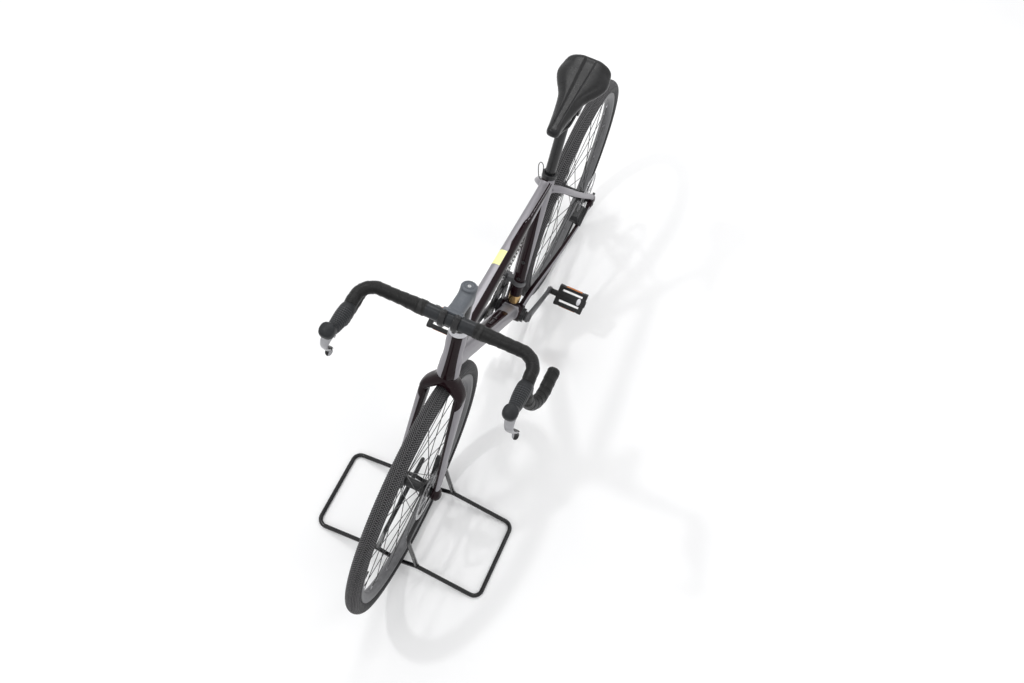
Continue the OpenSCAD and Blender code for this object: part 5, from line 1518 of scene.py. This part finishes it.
def make_crank(side, name):
    """A tapered arm with a ridge along its face, an eye for the pedal and a cap at the axle."""
    way = arm_way(side)
    across = unit(np.cross(way, ACROSS))
    t = np.array([-0.016, 0.0, 0.020, 0.050, 0.078, 0.110, 0.140, 0.160, CRANK_LEN, CRANK_LEN + 0.012])
    y = np.interp(t, [0, 0.078, CRANK_LEN], [0.0545, 0.0605, ARM_END_Y])
    wide = np.array([8, 15.6, 15.2, 13.4, 12.2, 11.6, 11.8, 12.6, 13.2, 7.5]) * MM
    thick = np.array([6.0, 6.9, 6.9, 6.7, 6.5, 6.2, 6.0, 6.0, 6.2, 5.6]) * MM
    table = through(np.column_stack([t, y, wide, thick]), 70)
    n = 48
    c, s = section(n, 2.9)
    # A raised ridge down the outer face
    face = np.where(s > 0, 1 - 0.20 * np.minimum(np.abs(c) / 0.55, 1) ** 1.1 * (np.abs(c) < 0.98), 1.0)
    verts = []
    for way_t, way_y, a, b in table:
        centre = CRANK + way_t * way + side * way_y * ACROSS
        flat = smooth(0.012, 0.030, way_t) * (1 - smooth(CRANK_LEN - 0.022, CRANK_LEN - 0.010, way_t))
        grow = 1 + (face - 1) * flat + 0.04 * flat * (s > 0)
        verts.append(centre + np.outer(a * c, across) + np.outer(side * b * s * grow, ACROSS))
    verts = np.vstack(verts)
    part(name + "_arm", (verts, band_faces(len(table), n)), "crank", "grey_alloy", name, finish="crank_alloy",
         sharp=False)
    eye = CRANK + CRANK_LEN * way
    # Washers and a hexagon at the eye, and the bearing's cover at the axle
    shapes = [rounded_rod(at + side * y0 * ACROSS, at + side * y1 * ACROSS, *sizes) for at, y0, y1, *sizes in (
        (eye, ARM_END_Y - 0.0070, ARM_END_Y - 0.0058, 0.0098, 0.0005, 36),
        (eye, ARM_END_Y + 0.0058, ARM_END_Y + 0.0070, 0.0098, 0.0005, 36),
        (eye, ARM_END_Y - 0.0078, ARM_END_Y - 0.0055, 0.0068, 0.0004, 6),
        (CRANK, 0.0445, 0.0480, 0.0150, 0.0006, 48))]
    shapes.append(socket_bolt(CRANK + side * 0.0630 * ACROSS, side * ACROSS, 0.0118, 0.004))
    part(name + "_trim", merged(shapes), "crank", "black_alloy")


def make_spider():
    """Four flat arms that hold the rings, with their bolts, and the spindle between the cranks."""
    way = arm_way(RIGHT)
    across = unit(np.cross(way, ACROSS))
    shapes = [rounded_rod(CRANK - 0.046 * ACROSS, CRANK + 0.062 * ACROSS, 0.0119, 0.0006, 40)]
    bolts = []
    for k in range(4):
        a = math.radians(45 + 90 * k)
        out = math.cos(a) * way + math.sin(a) * across
        foot = CRANK - 0.0506 * ACROSS
        line = [foot + out * d for d in (0.0, 0.020, 0.036, 0.052, 0.058, 0.0615)]
        sizes = [(0.0017, w) for w in (0.0135, 0.0125, 0.0085, 0.0072, 0.0066, 0.0035)]
        shapes.append(loft(line, sizes, ACROSS, 32, 4.0))
        at = foot + out * 0.054
        bolts.append(socket_bolt(at - 0.0024 * ACROSS, -ACROSS, 0.0046, 0.0015))
        bolts.append(rounded_rod(at + 0.0060 * ACROSS, at + 0.0096 * ACROSS, 0.0044, 0.0005, 28))
    part("crank_spider", merged(shapes), "crank", "grey_alloy", finish="crank_alloy")
    part("ring_bolts", merged(bolts), "crank", "silver_alloy")


def prism(outline, y0, y1, bevel=0.0008):
    """A solid with the outline (x, z) between two places across, with softened rims."""
    outline = np.asarray(outline, float)
    middle = outline.mean(0)
    rows = []
    size = np.abs(outline - middle).max()
    for y, shrink in ((y0, bevel), (y0 + 0.3 * bevel, 0.3 * bevel), (y0 + bevel, 0), (y1 - bevel, 0),
                      (y1 - 0.3 * bevel, 0.3 * bevel), (y1, bevel)):
        ring = middle + (outline - middle) * (1 - shrink / size)
        rows += [(x, y, z) for x, z in ring]
    return np.array(rows), band_faces(6, len(outline))


def rounded_outline(corners, r):
    """The outline through the corners with each one rounded off."""
    corners = np.asarray(corners, float)
    out = []
    for k in range(len(corners)):
        a, b, c = corners[k - 1], corners[k], corners[(k + 1) % len(corners)]
        p, q = b + unit(a - b) * r, b + unit(c - b) * r
        for t in np.linspace(0, 1, 5):
            out.append((1 - t) ** 2 * p + 2 * t * (1 - t) * b + t * t * q)
    return out


# One edge of the pedal's outline, from below the axle round to above it; the other edge is its half turn
PEDAL_EDGE = [(15, -11.0), (25.5, -13), (28.6, -11.2), (34.0, 5.5), (33.8, 9.0), (29, 13), (24, 12.4), (14, 10.2),
              (8, 10.4)]
REFLECTOR_LEAN = math.atan2(34.0 - 28.6, 11.2 + 5.5)


def make_pedal(side, body, name):
    """A moulded platform: two toothed bars, a block over the axle and end plates, with reflectors on leaning faces."""
    y0, y1 = PEDAL_Y0, PEDAL_Y0 + PEDAL_W
    plate = rounded_outline(np.array(PEDAL_EDGE + [(-x, -z) for x, z in PEDAL_EDGE]) * MM, 0.0012)
    corner = [(13.6, 7.5), (8, 10.4), (-8, 10.4), (-13.6, 7.5)]
    block = rounded_outline(np.array(corner + [(-x, -z) for x, z in corner]) * MM, 0.0015)
    shapes = [prism(plate, y0, y0 + 0.0125), prism(plate, y1 - 0.0125, y1), prism(block, y0 + 0.004, y1 - 0.004)]
    lean = math.tan(REFLECTOR_LEAN)
    lamps = []
    for s in (-1, 1):
        # Front bar as given; the rear one is its half turn
        whole = lambda pts: rounded_outline(np.array([(s * x, s * z) for x, z in pts]) * MM, 0.0008)
        bar = [(20.5, -9.5), (24.8, -12.0), (27.8, -10.8), (33.0, 5.0), (32.8, 9.0), (28.8, 12.2), (24, 11.6),
               (20.5, 10)]
        shapes.append(prism(whole(bar), y0 + 0.004, y1 - 0.004))
        for k in range(9):
            y = y0 + 0.016 + k * (PEDAL_W - 0.032) / 8
            for tooth in ([(22.0, 10.5), (24.0, 13.0), (29.0, 13.0), (31.0, 10.5)],
                          [(21.4, -10.0), (23.0, -12.9), (26.6, -13.0), (28.0, -10.5)]):
                shapes.append(prism(whole(tooth), y - 0.0023, y + 0.0023, 0.0006))
        lens = [(33.2 - lean * 14.4, -9.6), (34.4 - lean * 14.4, -9.3), (34.4 - lean * 0.4, 4.0),
                (33.35 - lean * 0.4, 4.4)]
        lamps.append(prism(whole(lens), y0 + 0.0193, y1 - 0.0193, 0.0004))
    shapes.append(rounded_rod([0, y0 + 0.001, 0], [0, y1 + 0.0013, 0], 0.0114, 0.0012, 48))
    shapes.append(rounded_rod([0, 0.0745, 0], [0, y0 + 0.003, 0], 0.0092, 0.0008, 40))
    shapes.append(rounded_rod([0, 0.0735, 0], [0, 0.0790, 0], 0.0100, 0.0006, 6))
    at = joint_at(body + "_spin") * [1, 0, 1]
    for ending, parts, slot, takes in (("_body", shapes, "black_plastic", name),
                                       ("_reflectors", lamps, "reflector", name.replace("pedal", "reflectors"))):
        verts, faces = merged(parts)
        part(name + ending, (placed(verts * [1, side, 1], PEDAL_FWD, ACROSS, PEDAL_UP, at), faces), body, slot, takes)
    axle = rounded_rod(at + side * 0.0610 * ACROSS, at + side * 0.0760 * ACROSS, 0.0068, 0.0005, 36)
    part(name + "_axle", axle, body, "silver_alloy")


def make_pedal_caps(side, body, name):
    """A pale cap over the bearing at the pedal's outer end, with a moulded ring round it."""
    at = joint_at(body + "_spin") * [1, 0, 1]
    end = PEDAL_Y0 + PEDAL_W + 0.0015
    cap = rounded_rod(at + side * (end - 0.004) * ACROSS, at + side * (end + 0.0006) * ACROSS, 0.0072, 0.0010, 40)
    # A pale oval cover over the outer bearing, above and below the block
    c, s = section(40, 2.0)
    covers = [cap]
    for face in (-1, 1):
        rows = []
        for share, lift in ((1.0, -0.0008), (1.0, 0.0004), (0.94, 0.0008), (0.5, 0.0009), (0.1, 0.0009)):
            x, y = 0.0115 * share * c, PEDAL_Y0 + PEDAL_W - 0.0190 + 0.0062 * share * s
            z = np.interp(np.abs(x), [0, 0.008, 0.0136], [0.0116, 0.0108, 0.0077]) + lift
            rows.append(np.column_stack([x, side * y, face * z]))
        covers.append((placed(np.vstack(rows), PEDAL_FWD, ACROSS, PEDAL_UP, at), band_faces(5, 40)))
    part(name + "_cap", merged(covers), body, "silver_alloy", finish="pale_alloy", sharp=False)
    ring = revolve([(0.0074, 0.0004), (0.0078, 0.0012), (0.0098, 0.0012), (0.0104, 0.0004), (0.0104, -0.002),
                    (0.0074, -0.002)], 48, closed_profile=True)
    part(name + "_ring", (ring[0] * [1, side, 1] + at + side * end * ACROSS, ring[1]), body, "black_plastic")

# ---- Wheel stand ----

STAND_R = 0.006
STAND_HALF = 0.254
STAND_LEN = 0.118
STAND_CORNER = 0.024
HOOP_FOOT = 0.062
HOOP_RISE = 0.034
HOOP_H = 0.240
CLEAR = 0.005
HOOP_Y = TYRE_HALF + CLEAR + STAND_R + 0.001
HOOP_HALF = STAND_LEN - 0.006
DIP_Z = TYRE_R - math.sqrt((TYRE_R + STAND_R + 0.0003) ** 2 - STAND_LEN**2)
DIP_Y = 0.008


def cross_bar_height(y):
    """Height of a cross bar's centre: from the floor up to the hoops, then down under the tyre."""
    if y > HOOP_FOOT:
        return STAND_R + HOOP_RISE * (STAND_HALF - STAND_CORNER - y) / (STAND_HALF - STAND_CORNER - HOOP_FOOT)
    return mix(DIP_Z, STAND_R + HOOP_RISE, max(0, (y - DIP_Y) / (HOOP_FOOT - DIP_Y)))


def stand_loop():
    """The bent tube that stands on the floor and carries the wheel."""
    pts = []

    def corner(sx, sy, start):
        """A quarter turn at one corner."""
        for a in np.radians(np.arange(start, start + 91, 11.25)):
            pts.append((FRONT_HUB[0] + sx * (STAND_LEN - STAND_CORNER) + STAND_CORNER * math.cos(a),
                        sy * (STAND_HALF - STAND_CORNER) + STAND_CORNER * math.sin(a), STAND_R))

    def cross(sx, sy):
        """A cross bar, which rises at both hoops and dips under the tyre."""
        for y in (-0.205, -0.15, -0.11, -0.085, -0.070, -0.058, -0.03, -DIP_Y, DIP_Y, 0.03, 0.058, 0.070, 0.085, 0.11,
                  0.15, 0.205):
            pts.append((FRONT_HUB[0] + sx * STAND_LEN, sy * y, cross_bar_height(abs(y))))

    corner(1, -1, -90)
    cross(1, 1)
    corner(1, 1, 0)
    corner(-1, 1, 90)
    cross(-1, -1)
    corner(-1, -1, 180)
    return np.array(pts)


def rounded_path(points):
    """A closed path with its corners softened."""
    p = np.asarray(points)
    for _ in range(2):
        q = np.empty((2 * len(p), 3))
        q[0::2] = 0.75 * p + 0.25 * np.roll(p, -1, 0)
        q[1::2] = 0.25 * p + 0.75 * np.roll(p, -1, 0)
        p = q
    return p


def make_stand():
    """The stand: the bent loop, a hoop on each side of the wheel and the weld beads at their feet."""
    loop = rounded_path(stand_loop())
    part("stand_base", loft(loop, (STAND_R, STAND_R), UP, 24, closed=True), "fork", "stand_paint", "stand",
         sharp=False)
    for side, word in SIDES:
        foot = np.array([FRONT_HUB[0] - STAND_LEN, side * HOOP_FOOT, cross_bar_height(HOOP_FOOT)])
        top = np.array([FRONT_HUB[0] - HOOP_HALF, side * HOOP_Y, HOOP_H])
        level = np.array([0.024, 0, 0])
        bend = bezier(mix(foot, top, 0.88), mix(foot, top, 0.97), top + level / 4, top + level, 16)
        front = np.vstack([[foot], [mix(foot, top, 0.45)], bend])
        back = front[::-1] * [-1, 1, 1] + [2 * FRONT_HUB[0], 0, 0]
        path = np.vstack([front, back])
        part("stand_hoop_" + word, loft(path, (STAND_R, STAND_R), ACROSS, 24), "fork", "stand_paint", sharp=False)
        beads = []
        for s in (-1, 1):
            at = np.array([FRONT_HUB[0] + s * STAND_LEN, side * HOOP_FOOT, cross_bar_height(HOOP_FOOT)])
            t = unit(mix(foot, top, 0.45) - foot) * [-s, 1, 1]
            beads.append(loft([at + t * k for k in (0.002, 0.0045, 0.0065, 0.0085)],
                              evenly([0.0062, 0.0078, 0.0072, 0.0060]), ACROSS, 24))
        part("stand_weld_" + word, merged(beads), "fork", "stand_paint", sharp=False)


# ---- The whole scene ----

make_camera()
make_cables()
make_world()
make_floor()
softbox("key", (0.9, -1.4, 3.6), 0.16, 23)
softbox("back", (-1.9, -0.7, 3.5), 1.1, 22)
softbox("side", (-0.9, 1.9, 2.9), 0.9, 7)

dress_kept_nodes()
make_frame()
make_fork()
WHEELS = (("front", FRONT_HUB), ("rear", REAR_HUB))
for word, hub in WHEELS:
    make_tyre(word + "_tyre", hub, word + "_wheel")
for word, hub in WHEELS:
    make_nipples(word, hub, word + "_wheel")
for side, word in SIDES:
    make_tape("tape_" + word, side)
    make_hood("hood_" + word, side)
    make_lever("lever_" + word, side)
for side, word in SIDES:
    make_crank(side, "crank_" + word)
make_spider()
for make in (make_pedal, make_pedal_caps):
    for side, word in SIDES:
        make(side, word + "_pedal", "pedal_" + word)
make_stem()
make_saddle()
make_rails()
make_post()
make_seat_clamp()
make_stand()
